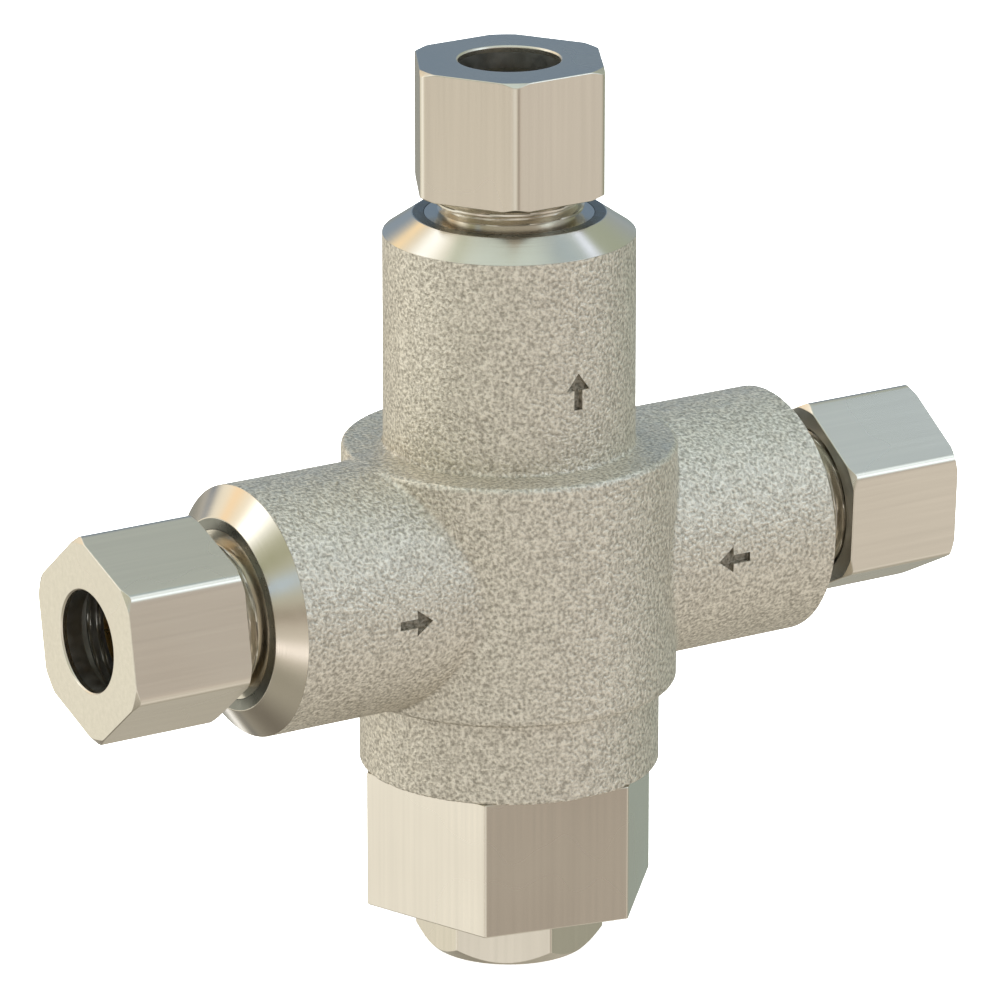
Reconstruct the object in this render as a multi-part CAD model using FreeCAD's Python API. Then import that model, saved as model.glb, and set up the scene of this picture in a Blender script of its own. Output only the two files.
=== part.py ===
import FreeCAD, Part
import math
import os

from FreeCAD import Placement, Rotation, Vector

# Thermostatic mixing valve for 3/8 inch tube: hot water enters along -X, cold water
# along +X, mixed water leaves along +Z, and the temperature is set from below.
#
# Frame: Z is the axis of the outlet, the bonnet and the cap, and X is the axis of
# the two inlets. The origin is the middle of the cap's flat base.
# Every piece is first drawn about the Z axis, with heights measured from the point
# where the port axes cross. at_port() then lays it along its port.
# All sizes are in millimetres.

PORT_AXIS_HEIGHT = 38.9
INLET_REACH = 46.7
OUTLET_REACH = 49.54

# Cast body
BARREL_RADIUS = 16.15
BARREL_TOP = 11.95
BARREL_BOTTOM = -11.8
BARREL_EDGE = 0.5
RING_RADIUS = 14.5
RING_BOTTOM = -20.08
RING_EDGE = 0.15
ARM_RADIUS = 12.1
RIM_RADIUS = 9.26
RIM_BELOW_FACE = 14.95
RIM_CHAMFER_LENGTH = 1.94

# Compression ends for 3/8 inch tube with a 9/16-24 thread
TUBE_HOLE_RADIUS = 4.87
NUT_ACROSS_FLATS = 17.46
NUT_LENGTH = 12.5
NUT_LAND = 2.2
NUT_SEAT_RADIUS = 6.0
NUT_SEAT_END = 3.33
NUT_CHAMFER_CIRCLE = 9.35
NUT_THREAD_BORE = 7.2
NUT_CORNER_ANGLES = {"hot": 9.4, "cold": 2.7, "outlet": 1.1}
STUB_RADIUS = 7.14
STUB_ROOT_RADIUS = 6.5
STUB_LENGTH = 7.85
STUB_PITCH = 25.4 / 24
THREAD_CREST_START = 0.4
THREAD_CREST_END = 0.6
THREAD_GAP = 0.01
STUB_RELIEF_RADIUS = 6.3
STUB_RELIEF_LENGTH = 0.4
MOUTH_RADIUS = 6.0
MOUTH_CONE_BOTTOM = 2.55
TUBE_STOP = 0.3
INLET_FLOW_RADIUS = 3.6
OUTLET_FLOW_RADIUS = 3.9

# The part of a connector that is screwed into the body
SHANK_RADIUS = 8.1
SHANK_BORE = 8.15
SHANK_LENGTH = 8.0
SHANK_GROOVE_RADIUS = 7.1
SHANK_GROOVE = (-6.6, -5.2)
STRAINER_POCKET_RADIUS = 6.2
STRAINER_POCKET_TOP = -3.0

# Ferrule, with its distances from the body's rim
FERRULE_BOTTOM = 5.45
FERRULE_LENGTH = 4.8
FERRULE_BORE = 4.86
FERRULE_RADIUS = 5.6
FERRULE_TIP_RADIUS = 5.0
FERRULE_END_RADIUS = 5.1

# Strainer cup, with its distances from the body's rim
STRAINER_FLANGE_RADIUS = 6.1
STRAINER_FLANGE = 0.8
STRAINER_RADIUS = 4.4
STRAINER_WALL = 0.3
STRAINER_TOP = -3.6
STRAINER_HOLE_RADIUS = 0.4
STRAINER_HOLES_ROUND = 10
STRAINER_ROWS = 2
STRAINER_FIRST_ROW = 1.0
STRAINER_ROW_SPACING = 1.3
STRAINER_END_CIRCLE = 2.3

# Check valve, with its distances from the crossing of the port axes
CHECK_CHAMBER_RADIUS = 7.0
CHECK_CHAMBER_BOTTOM = 13.9
CHECK_BOTTOM = 14.4
CHECK_TOP = 23.7
CHECK_OUTER = 6.95
CHECK_INNER = 5.2
CHECK_SEAT_WALL = 1.4
CHECK_SEAT_HOLE = 3.0
CHECK_GROOVE = (19.6, 21.0)
CHECK_GROOVE_RADIUS = 6.0
SPIDER_BOTTOM = 16.4
SPIDER_THICKNESS = 1.2
SPIDER_HUB_RADIUS = 1.9
SPIDER_BORE = 1.05
SPIDER_ARMS = 3
SPIDER_ARM_WIDTH = 1.2
SPIDER_ARM_ROOT = 0.3
POPPET_DISC = (20.7, 21.5)
POPPET_DISC_RADIUS = 4.2
POPPET_STEM_RADIUS = 1.0
POPPET_STEM_END = 15.9
POPPET_BOSS_RADIUS = 1.2
POPPET_SEAL_RADIUS = 4.0
POPPET_SEAL_TOP = 22.25
CHECK_SPRING_RADIUS = 2.4
CHECK_SPRING_WIRE = 0.15
CHECK_SPRING_TURNS = 3.5

# Bores inside the body
MAIN_BORE = 12.0
GUIDE_BORE = 10.05
GUIDE_HALF_LENGTH = 2.4
HOT_SEAT_HEIGHT = 7.2
COLD_SEAT_HEIGHT = -7.2
MIXING_BORE = 8.0
FEED_RADIUS = 2.2
FEED_OFFSET = 4.8
FEED_START = 9.0

# Shuttle with its wax thermostat
SHUTTLE_RADIUS = 10.0
SHUTTLE_INNER = 8.6
SHUTTLE_HALF_LENGTH = 6.0
SHUTTLE_WEB = 1.2
SHUTTLE_HUB_BORE = 2.75
SHUTTLE_GROOVE_RADIUS = 9.0
SHUTTLE_GROOVE = 0.75
SHUTTLE_PORTS = 8
SHUTTLE_PORT_RADIUS = 1.1
SHUTTLE_PORT_CIRCLE = 7.25
ELEMENT_GUIDE_RADIUS = 2.7
ELEMENT_BOTTOM = -6.5
ELEMENT_FLANGE_RADIUS = 5.7
ELEMENT_FLANGE_TOP = 2.6
ELEMENT_BULB_RADIUS = 4.0
ELEMENT_TOP = 19.0
ELEMENT_TOP_BEVEL = 1.5
ELEMENT_BORE = 1.3
ELEMENT_BORE_TOP = 6.0
PISTON_RADIUS = 1.25
PISTON_TOP = 2.5
RETURN_SPRING_RADIUS = 5.05
RETURN_SPRING_WIRE = 0.45
RETURN_SPRING_TURNS = 8

# Bonnet
BONNET_ACROSS_FLATS = 25.5
BONNET_CORNER_ANGLE = 48.5
BONNET_TOP = -20.1
BONNET_BOTTOM = -33.6
SPIGOT_RADIUS = 11.95
SPIGOT_GROOVE = (-12.7, -11.1)
SPIGOT_GROOVE_RADIUS = 10.85
SPIGOT_POCKET_RADIUS = 7.8
SPIGOT_POCKET_BOTTOM = -15.0
SPINDLE_THREAD_BORE = 5.0
SPINDLE_STEP = -27.3
SPINDLE_SEAL_BORE = 3.6
BOSS_RADIUS = 5.95
BOSS_BOTTOM = -37.6
STOP_RING_GROOVE = (-16.0, -15.1)
STOP_RING_GROOVE_RADIUS = 5.6
STOP_RING_INNER = 4.3
STOP_RING_OPENING = 2.5
STOP_RING_CLEARANCE = 0.05

# Adjusting spindle with its overtravel plunger
SPINDLE_HEAD_RADIUS = 4.95
SPINDLE_HEAD = (-26.2, -17.5)
SPINDLE_STEM_RADIUS = 3.55
SPINDLE_BOTTOM = -36.4
SPINDLE_CUP_RADIUS = 3.6
SPINDLE_CUP_BOTTOM = -25.2
SPINDLE_GROOVE_RADIUS = 2.75
SPINDLE_GROOVES = (-29.4, -31.6)
SPINDLE_GROOVE_WIDTH = 1.1
SPINDLE_KEY_ACROSS_FLATS = 3.0
SPINDLE_KEY_DEPTH = 3.2
CLIP_GROOVE = (-18.45, -17.95)
CLIP_GROOVE_RADIUS = 4.1
CLIP_INNER = 2.2
CLIP_OPENING = 1.6
CLIP_CLEARANCE = 0.02
PLUNGER_HEAD = (-20.0, -18.5)
PLUNGER_HEAD_RADIUS = 3.5
PLUNGER_NOSE_RADIUS = 2.1
PLUNGER_TOP = -12.0
OVERTRAVEL_SPRING_RADIUS = 2.9
OVERTRAVEL_SPRING_WIRE = 0.4
OVERTRAVEL_SPRING_TURNS = 4

# Locking cap
CAP_ACROSS_FLATS = 15.875
CAP_CORNER_ANGLE = 23.7
CAP_TOP = -33.66
CAP_CHAMFER_CIRCLE = 7.75
CAP_THREAD_BORE = 6.0
CAP_FLOOR = -38.02
GASKET_THICKNESS = 0.36
GASKET_RADII = (3.8, 5.9)

# Shared shop details
NUT_CHAMFER_SLOPE = math.tan(math.radians(30))
CAP_CHAMFER_SLOPE = math.tan(math.radians(45))
BREAK_EDGE = 0.25
O_RING_CLEARANCE = 0.02
SPINDLE_RING_CLEARANCE = 0.01
SPRING_END_GAP = 0.02
SPRING_WIRE_SIDES = 10

# Flow arrows cut into the front of the neck and the arms
ARROW_LENGTH = 3.6
ARROW_HEAD_LENGTH = 1.7
ARROW_HEAD_WIDTH = 2.6
ARROW_SHAFT_WIDTH = 0.9
ARROW_DEPTH = 0.35
ARROW_CUTTER_LENGTH = 2
OUTLET_ARROW_HEIGHT = 19.8
INLET_ARROW_REACH = 18.0

PORT_REACHES = {"hot": INLET_REACH, "cold": INLET_REACH, "outlet": OUTLET_REACH}
PORT_TURNS = {"hot": -90, "cold": 90, "outlet": 0}
UP = Vector(0, 0, 1)


def at_port(shape, port="outlet"):
    """Lay a piece drawn along Z along the named port's axis."""
    turn = Rotation(Vector(0, 1, 0), PORT_TURNS[port])
    placed = shape.copy()
    placed.Placement = Placement(Vector(0, 0, PORT_AXIS_HEIGHT), turn) * shape.Placement
    return placed


def rim_height(port):
    """Distance from the crossing of the port axes to the body's rim at a port."""
    return PORT_REACHES[port] - RIM_BELOW_FACE


def cylinder(radius, low, high):
    """Solid cylinder about Z between two heights."""
    return Part.makeCylinder(radius, high - low, Vector(0, 0, low))


def tube(outer, inner, low, high):
    """Hollow cylinder about Z between two heights."""
    return cylinder(outer, low, high).cut(cylinder(inner, low - 1, high + 1))


def turned(outline):
    """Solid of revolution about Z from a closed outline of (radius, height) points."""
    corners = [Vector(radius, 0, height) for radius, height in outline]
    face = Part.Face(Part.makePolygon(corners + corners[:1]))
    return face.revolve(Vector(0, 0, 0), UP, 360)


def hexagon(across_flats, low, high, corner_angle):
    """Hexagonal prism about Z with one corner at corner_angle from +X."""
    radius = across_flats / math.sqrt(3)
    corners = []
    for corner in range(7):
        angle = math.radians(corner_angle + 60 * corner)
        corners.append(Vector(radius * math.cos(angle), radius * math.sin(angle), low))
    return Part.Face(Part.makePolygon(corners)).extrude(UP * (high - low))


def corner_turning(circle, slope, low, high, end):
    """Solid of revolution that turns the corners off one end of a hexagon."""
    wide = 2 * circle
    rise = (wide - circle) * slope
    if end == "low":
        return turned([
            (0, low),
            (circle, low),
            (wide, low + rise),
            (wide, high + wide),
            (0, high + wide),
        ])
    return turned([
        (0, high),
        (circle, high),
        (wide, high - rise),
        (wide, low - wide),
        (0, low - wide),
    ])


def o_ring(inner_radius, outer_radius, height):
    """Rubber ring that fills a groove between two radii."""
    section = (outer_radius - inner_radius) / 2
    return Part.makeTorus(inner_radius + section, section, Vector(0, 0, height))


def coil_spring(mean_radius, wire_radius, turns, low, high):
    """Helical spring whose end coils stop just short of two heights."""
    bottom = low + wire_radius + SPRING_END_GAP
    length = high - low - 2 * (wire_radius + SPRING_END_GAP)
    helix = Part.makeHelix(length / turns, length, mean_radius)
    corners = []
    for corner in range(SPRING_WIRE_SIDES + 1):
        angle = 2 * math.pi * corner / SPRING_WIRE_SIDES
        corners.append(Vector(mean_radius + wire_radius * math.cos(angle), 0, wire_radius * math.sin(angle)))
    spring = Part.Wire(helix.Edges).makePipeShell([Part.makePolygon(corners)], True, True)
    spring.translate(UP * bottom)
    return spring


def split_ring(inner, outer, low, high, gap):
    """Flat retaining ring with a gap on the +X side."""
    opening = Part.makeBox(outer, gap, high - low + 2, Vector(0, -gap / 2, low - 1))
    return tube(outer, inner, low, high).cut(opening)


def flow_arrow(middle, direction):
    """Cutter for an arrow on the front of the body, pointing along a unit vector."""
    across = direction.cross(Vector(0, 1, 0))
    half = ARROW_LENGTH / 2
    neck = half - ARROW_HEAD_LENGTH
    outline = [
        (-half, -ARROW_SHAFT_WIDTH / 2),
        (neck, -ARROW_SHAFT_WIDTH / 2),
        (neck, -ARROW_HEAD_WIDTH / 2),
        (half, 0),
        (neck, ARROW_HEAD_WIDTH / 2),
        (neck, ARROW_SHAFT_WIDTH / 2),
        (-half, ARROW_SHAFT_WIDTH / 2),
    ]
    front = Vector(0, ARROW_DEPTH - ARM_RADIUS, 0)
    corners = [middle + front + direction * along + across * side for along, side in outline]
    return Part.Face(Part.makePolygon(corners + corners[:1])).extrude(Vector(0, -ARROW_CUTTER_LENGTH, 0))


def valve_body():
    """Cross-shaped casting with a neck, two arms, a barrel and a ring for the bonnet."""
    barrel = cylinder(BARREL_RADIUS, BARREL_BOTTOM, BARREL_TOP)
    barrel = barrel.makeFillet(BARREL_EDGE, [barrel.Edges[0], barrel.Edges[2]])
    ring = cylinder(RING_RADIUS, RING_BOTTOM, 0)
    ring = ring.makeFillet(RING_EDGE, [ring.Edges[2]])
    solid = barrel.fuse(ring)
    for port in PORT_REACHES:
        rim = rim_height(port)
        arm = turned([
            (0, 0),
            (ARM_RADIUS, 0),
            (ARM_RADIUS, rim - RIM_CHAMFER_LENGTH),
            (RIM_RADIUS, rim),
            (0, rim),
        ])
        solid = solid.fuse(at_port(arm, port).translated(UP * -PORT_AXIS_HEIGHT))
    solid = solid.removeSplitter()

    cavity = turned([
        (0, RING_BOTTOM - 1),
        (MAIN_BORE, RING_BOTTOM - 1),
        (MAIN_BORE, -GUIDE_HALF_LENGTH),
        (GUIDE_BORE, -GUIDE_HALF_LENGTH),
        (GUIDE_BORE, GUIDE_HALF_LENGTH),
        (MAIN_BORE, GUIDE_HALF_LENGTH),
        (MAIN_BORE, HOT_SEAT_HEIGHT),
        (MIXING_BORE, HOT_SEAT_HEIGHT),
        (MIXING_BORE, rim_height("outlet") - SHANK_LENGTH),
        (SHANK_BORE, rim_height("outlet") - SHANK_LENGTH),
        (SHANK_BORE, rim_height("outlet") + 1),
        (0, rim_height("outlet") + 1),
    ])
    solid = solid.cut(cavity)
    for port, feed_height in (("hot", FEED_OFFSET), ("cold", -FEED_OFFSET)):
        rim = rim_height(port)
        bores = cylinder(CHECK_CHAMBER_RADIUS, CHECK_CHAMBER_BOTTOM, rim)
        bores = bores.fuse(cylinder(SHANK_BORE, rim - SHANK_LENGTH, rim + 1))
        bores = at_port(bores, port).translated(UP * -PORT_AXIS_HEIGHT)
        side = Vector(-1 if port == "hot" else 1, 0, 0)
        feed_length = CHECK_CHAMBER_BOTTOM + 1 - FEED_START
        feed = Part.makeCylinder(FEED_RADIUS, feed_length, side * FEED_START + UP * feed_height, side)
        solid = solid.cut(bores.fuse(feed))
    arrows = [
        flow_arrow(UP * OUTLET_ARROW_HEIGHT, UP),
        flow_arrow(Vector(-INLET_ARROW_REACH, 0, 0), Vector(1, 0, 0)),
        flow_arrow(Vector(INLET_ARROW_REACH, 0, 0), Vector(-1, 0, 0)),
    ]
    for arrow in arrows:
        solid = solid.cut(arrow)
    return at_port(solid)


def connector(port):
    """Screwed-in tube end with a threaded stub, a 24 degree mouth and a tube stop."""
    rim = rim_height(port)
    flow_radius = OUTLET_FLOW_RADIUS if port == "outlet" else INLET_FLOW_RADIUS
    thread = []
    thread_bottom = STUB_RELIEF_LENGTH
    turns = int((STUB_LENGTH - thread_bottom) / STUB_PITCH)
    for turn in range(turns):
        root = thread_bottom + turn * STUB_PITCH
        thread += [
            (STUB_ROOT_RADIUS, root),
            (STUB_RADIUS, root + THREAD_CREST_START * STUB_PITCH),
            (STUB_RADIUS, root + THREAD_CREST_END * STUB_PITCH),
        ]
    outline = [
        (SHANK_RADIUS, -SHANK_LENGTH),
        (SHANK_RADIUS, SHANK_GROOVE[0]),
        (SHANK_GROOVE_RADIUS, SHANK_GROOVE[0]),
        (SHANK_GROOVE_RADIUS, SHANK_GROOVE[1]),
        (SHANK_RADIUS, SHANK_GROOVE[1]),
        (SHANK_RADIUS, 0),
        (STUB_RELIEF_RADIUS, 0),
        (STUB_RELIEF_RADIUS, thread_bottom - THREAD_GAP),
        *thread,
        (STUB_ROOT_RADIUS, thread_bottom + turns * STUB_PITCH),
        (STUB_ROOT_RADIUS, STUB_LENGTH),
        (MOUTH_RADIUS, STUB_LENGTH),
        (TUBE_HOLE_RADIUS, MOUTH_CONE_BOTTOM),
        (TUBE_HOLE_RADIUS, TUBE_STOP),
        (flow_radius, TUBE_STOP),
    ]
    if port == "outlet":
        outline += [(flow_radius, -SHANK_LENGTH)]
    else:
        outline += [
            (flow_radius, STRAINER_POCKET_TOP),
            (STRAINER_POCKET_RADIUS, STRAINER_POCKET_TOP),
            (STRAINER_POCKET_RADIUS, -SHANK_LENGTH),
        ]
    return at_port(turned([(radius, rim + height) for radius, height in outline]), port)


def connector_o_ring(port):
    """Seal in the groove round a connector's shank."""
    height = rim_height(port) + sum(SHANK_GROOVE) / 2
    return at_port(o_ring(SHANK_GROOVE_RADIUS, SHANK_BORE - O_RING_CLEARANCE, height), port)


def compression_nut(port):
    """Hexagon nut with a tube hole, an inner cone for the ferrule and a threaded bore."""
    face = PORT_REACHES[port]
    bottom = face - NUT_LENGTH
    body = hexagon(NUT_ACROSS_FLATS, bottom, face, NUT_CORNER_ANGLES[port])
    body = body.common(corner_turning(NUT_CHAMFER_CIRCLE, NUT_CHAMFER_SLOPE, bottom, face, "low"))
    body = body.common(corner_turning(NUT_CHAMFER_CIRCLE, NUT_CHAMFER_SLOPE, bottom, face, "high"))
    bore = turned([
        (0, face + 1),
        (TUBE_HOLE_RADIUS, face + 1),
        (TUBE_HOLE_RADIUS, face - NUT_LAND),
        (NUT_SEAT_RADIUS, face - NUT_SEAT_END),
        (NUT_THREAD_BORE, face - NUT_SEAT_END),
        (NUT_THREAD_BORE, bottom + BREAK_EDGE),
        (NUT_THREAD_BORE + BREAK_EDGE + 1, bottom - 1),
        (0, bottom - 1),
    ])
    return at_port(body.cut(bore), port)


def ferrule(port):
    """Compression sleeve, tapered towards the connector's mouth."""
    bottom = rim_height(port) + FERRULE_BOTTOM
    top = bottom + FERRULE_LENGTH
    mouth_slope = (MOUTH_RADIUS - TUBE_HOLE_RADIUS) / (STUB_LENGTH - MOUTH_CONE_BOTTOM)
    taper_length = (FERRULE_RADIUS - FERRULE_TIP_RADIUS) / mouth_slope
    return at_port(turned([
        (FERRULE_BORE, bottom),
        (FERRULE_TIP_RADIUS, bottom),
        (FERRULE_RADIUS, bottom + taper_length),
        (FERRULE_RADIUS, top - (FERRULE_RADIUS - FERRULE_END_RADIUS)),
        (FERRULE_END_RADIUS, top),
        (FERRULE_BORE, top),
    ]), port)


def strainer(port):
    """Perforated cup that stands in the connector, open towards the check valve."""
    rim = rim_height(port)
    bottom = rim - SHANK_LENGTH
    top = rim + STRAINER_TOP
    inner = STRAINER_RADIUS - STRAINER_WALL
    cup = turned([
        (inner, bottom),
        (STRAINER_FLANGE_RADIUS, bottom),
        (STRAINER_FLANGE_RADIUS, bottom + STRAINER_FLANGE),
        (STRAINER_RADIUS, bottom + STRAINER_FLANGE),
        (STRAINER_RADIUS, top),
        (0, top),
        (0, top - STRAINER_WALL),
        (inner, top - STRAINER_WALL),
    ])
    for row in range(STRAINER_ROWS):
        height = bottom + STRAINER_FLANGE + STRAINER_FIRST_ROW + STRAINER_ROW_SPACING * row
        for hole in range(STRAINER_HOLES_ROUND):
            angle = math.radians(360 * (hole + row / 2) / STRAINER_HOLES_ROUND)
            outward = Vector(math.cos(angle), math.sin(angle), 0)
            cup = cup.cut(Part.makeCylinder(STRAINER_HOLE_RADIUS, 2 * STRAINER_RADIUS, UP * height, outward))
    for hole in range(STRAINER_HOLES_ROUND // 2):
        angle = math.radians(720 * hole / STRAINER_HOLES_ROUND)
        middle = Vector(math.cos(angle), math.sin(angle), 0) * STRAINER_END_CIRCLE + UP * (top - 1)
        cup = cup.cut(Part.makeCylinder(STRAINER_HOLE_RADIUS, 2, middle))
    return at_port(cup, port)


def check_housing(port):
    """Cartridge shell with a seat at its outer end and a spider that guides the poppet."""
    shell = turned([
        (CHECK_INNER, CHECK_BOTTOM),
        (CHECK_OUTER, CHECK_BOTTOM),
        (CHECK_OUTER, CHECK_GROOVE[0]),
        (CHECK_GROOVE_RADIUS, CHECK_GROOVE[0]),
        (CHECK_GROOVE_RADIUS, CHECK_GROOVE[1]),
        (CHECK_OUTER, CHECK_GROOVE[1]),
        (CHECK_OUTER, CHECK_TOP),
        (CHECK_SEAT_HOLE, CHECK_TOP),
        (CHECK_SEAT_HOLE, CHECK_TOP - CHECK_SEAT_WALL),
        (CHECK_INNER, CHECK_TOP - CHECK_SEAT_WALL),
    ])
    spider_top = SPIDER_BOTTOM + SPIDER_THICKNESS
    spider = cylinder(SPIDER_HUB_RADIUS, SPIDER_BOTTOM, spider_top)
    for arm in range(SPIDER_ARMS):
        corner = Vector(0, -SPIDER_ARM_WIDTH / 2, SPIDER_BOTTOM)
        bar = Part.makeBox(CHECK_INNER + SPIDER_ARM_ROOT, SPIDER_ARM_WIDTH, SPIDER_THICKNESS, corner)
        bar.rotate(Vector(0, 0, 0), UP, 90 + 360 * arm / SPIDER_ARMS)
        spider = spider.fuse(bar)
    stem_hole = cylinder(SPIDER_BORE, SPIDER_BOTTOM - 1, spider_top + 1)
    return at_port(shell.fuse(spider.cut(stem_hole)).removeSplitter(), port)


def check_o_ring(port):
    """Seal between the check cartridge and its chamber."""
    height = sum(CHECK_GROOVE) / 2
    return at_port(o_ring(CHECK_GROOVE_RADIUS, CHECK_CHAMBER_RADIUS - O_RING_CLEARANCE, height), port)


def check_poppet(port):
    """Disc with a guide stem behind it and a boss in front that holds the seal."""
    return at_port(turned([
        (0, POPPET_STEM_END),
        (POPPET_STEM_RADIUS, POPPET_STEM_END),
        (POPPET_STEM_RADIUS, POPPET_DISC[0]),
        (POPPET_DISC_RADIUS, POPPET_DISC[0]),
        (POPPET_DISC_RADIUS, POPPET_DISC[1]),
        (POPPET_BOSS_RADIUS, POPPET_DISC[1]),
        (POPPET_BOSS_RADIUS, POPPET_SEAL_TOP),
        (0, POPPET_SEAL_TOP),
    ]), port)


def check_seal(port):
    """Rubber washer that closes against the cartridge's seat."""
    return at_port(tube(POPPET_SEAL_RADIUS, POPPET_BOSS_RADIUS, POPPET_DISC[1], POPPET_SEAL_TOP), port)


def check_spring(port):
    """Light spring between the spider and the poppet."""
    low = SPIDER_BOTTOM + SPIDER_THICKNESS
    spring = coil_spring(CHECK_SPRING_RADIUS, CHECK_SPRING_WIRE, CHECK_SPRING_TURNS, low, POPPET_DISC[0])
    return at_port(spring, port)


def shuttle():
    """Sleeve that throttles hot water with its top edge and cold with its bottom edge."""
    half = SHUTTLE_HALF_LENGTH
    body = turned([
        (SHUTTLE_HUB_BORE, -SHUTTLE_WEB),
        (SHUTTLE_INNER, -SHUTTLE_WEB),
        (SHUTTLE_INNER, -half),
        (SHUTTLE_RADIUS, -half),
        (SHUTTLE_RADIUS, -SHUTTLE_GROOVE),
        (SHUTTLE_GROOVE_RADIUS, -SHUTTLE_GROOVE),
        (SHUTTLE_GROOVE_RADIUS, SHUTTLE_GROOVE),
        (SHUTTLE_RADIUS, SHUTTLE_GROOVE),
        (SHUTTLE_RADIUS, half),
        (SHUTTLE_INNER, half),
        (SHUTTLE_INNER, SHUTTLE_WEB),
        (SHUTTLE_HUB_BORE, SHUTTLE_WEB),
    ])
    for port in range(SHUTTLE_PORTS):
        angle = math.radians(360 * port / SHUTTLE_PORTS)
        middle = Vector(math.cos(angle), math.sin(angle), 0) * SHUTTLE_PORT_CIRCLE - UP * 2 * SHUTTLE_WEB
        body = body.cut(Part.makeCylinder(SHUTTLE_PORT_RADIUS, 4 * SHUTTLE_WEB, middle))
    return at_port(body)


def shuttle_o_ring():
    """Seal that keeps hot and cold water apart round the shuttle."""
    return at_port(o_ring(SHUTTLE_GROOVE_RADIUS, GUIDE_BORE - O_RING_CLEARANCE, 0))


def thermostat_element():
    """Wax-filled bulb on a flange, with a guide tube for its piston."""
    return at_port(turned([
        (ELEMENT_BORE, ELEMENT_BOTTOM),
        (ELEMENT_GUIDE_RADIUS, ELEMENT_BOTTOM),
        (ELEMENT_GUIDE_RADIUS, SHUTTLE_WEB),
        (ELEMENT_FLANGE_RADIUS, SHUTTLE_WEB),
        (ELEMENT_FLANGE_RADIUS, ELEMENT_FLANGE_TOP),
        (ELEMENT_BULB_RADIUS, ELEMENT_FLANGE_TOP),
        (ELEMENT_BULB_RADIUS, ELEMENT_TOP - ELEMENT_TOP_BEVEL),
        (ELEMENT_BULB_RADIUS - ELEMENT_TOP_BEVEL, ELEMENT_TOP),
        (0, ELEMENT_TOP),
        (0, ELEMENT_BORE_TOP),
        (ELEMENT_BORE, ELEMENT_BORE_TOP),
    ]))


def thermostat_piston():
    """Steel pin that the wax pushes out against the plunger."""
    return at_port(cylinder(PISTON_RADIUS, PLUNGER_TOP, PISTON_TOP))


def return_spring():
    """Spring that pushes the element and shuttle down from the outlet connector."""
    high = rim_height("outlet") - SHANK_LENGTH
    return at_port(
        coil_spring(RETURN_SPRING_RADIUS, RETURN_SPRING_WIRE, RETURN_SPRING_TURNS, ELEMENT_FLANGE_TOP, high)
    )


def bonnet():
    """Large hexagon plug that closes the body and carries the adjusting spindle."""
    head = hexagon(BONNET_ACROSS_FLATS, BONNET_BOTTOM, BONNET_TOP, BONNET_CORNER_ANGLE)
    spigot = turned([
        (0, BONNET_TOP - 1),
        (SPIGOT_RADIUS, BONNET_TOP - 1),
        (SPIGOT_RADIUS, SPIGOT_GROOVE[0]),
        (SPIGOT_GROOVE_RADIUS, SPIGOT_GROOVE[0]),
        (SPIGOT_GROOVE_RADIUS, SPIGOT_GROOVE[1]),
        (SPIGOT_RADIUS, SPIGOT_GROOVE[1]),
        (SPIGOT_RADIUS, COLD_SEAT_HEIGHT),
        (0, COLD_SEAT_HEIGHT),
    ])
    boss = cylinder(BOSS_RADIUS, BOSS_BOTTOM, BONNET_BOTTOM + 1)
    bore = turned([
        (0, COLD_SEAT_HEIGHT + 1),
        (SPIGOT_POCKET_RADIUS, COLD_SEAT_HEIGHT + 1),
        (SPIGOT_POCKET_RADIUS, SPIGOT_POCKET_BOTTOM),
        (SPINDLE_THREAD_BORE, SPIGOT_POCKET_BOTTOM),
        (SPINDLE_THREAD_BORE, STOP_RING_GROOVE[1]),
        (STOP_RING_GROOVE_RADIUS, STOP_RING_GROOVE[1]),
        (STOP_RING_GROOVE_RADIUS, STOP_RING_GROOVE[0]),
        (SPINDLE_THREAD_BORE, STOP_RING_GROOVE[0]),
        (SPINDLE_THREAD_BORE, SPINDLE_STEP),
        (SPINDLE_SEAL_BORE, SPINDLE_STEP),
        (SPINDLE_SEAL_BORE, BOSS_BOTTOM - 1),
        (0, BOSS_BOTTOM - 1),
    ])
    return at_port(head.fuse(spigot).fuse(boss).removeSplitter().cut(bore))


def bonnet_o_ring():
    """Seal round the bonnet's spigot."""
    return at_port(o_ring(SPIGOT_GROOVE_RADIUS, MAIN_BORE - O_RING_CLEARANCE, sum(SPIGOT_GROOVE) / 2))


def spindle_stop_ring():
    """Retaining ring above the spindle."""
    low = STOP_RING_GROOVE[0] + STOP_RING_CLEARANCE
    high = STOP_RING_GROOVE[1] - STOP_RING_CLEARANCE
    outer = STOP_RING_GROOVE_RADIUS - STOP_RING_CLEARANCE
    return at_port(split_ring(STOP_RING_INNER, outer, low, high, STOP_RING_OPENING))


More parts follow.
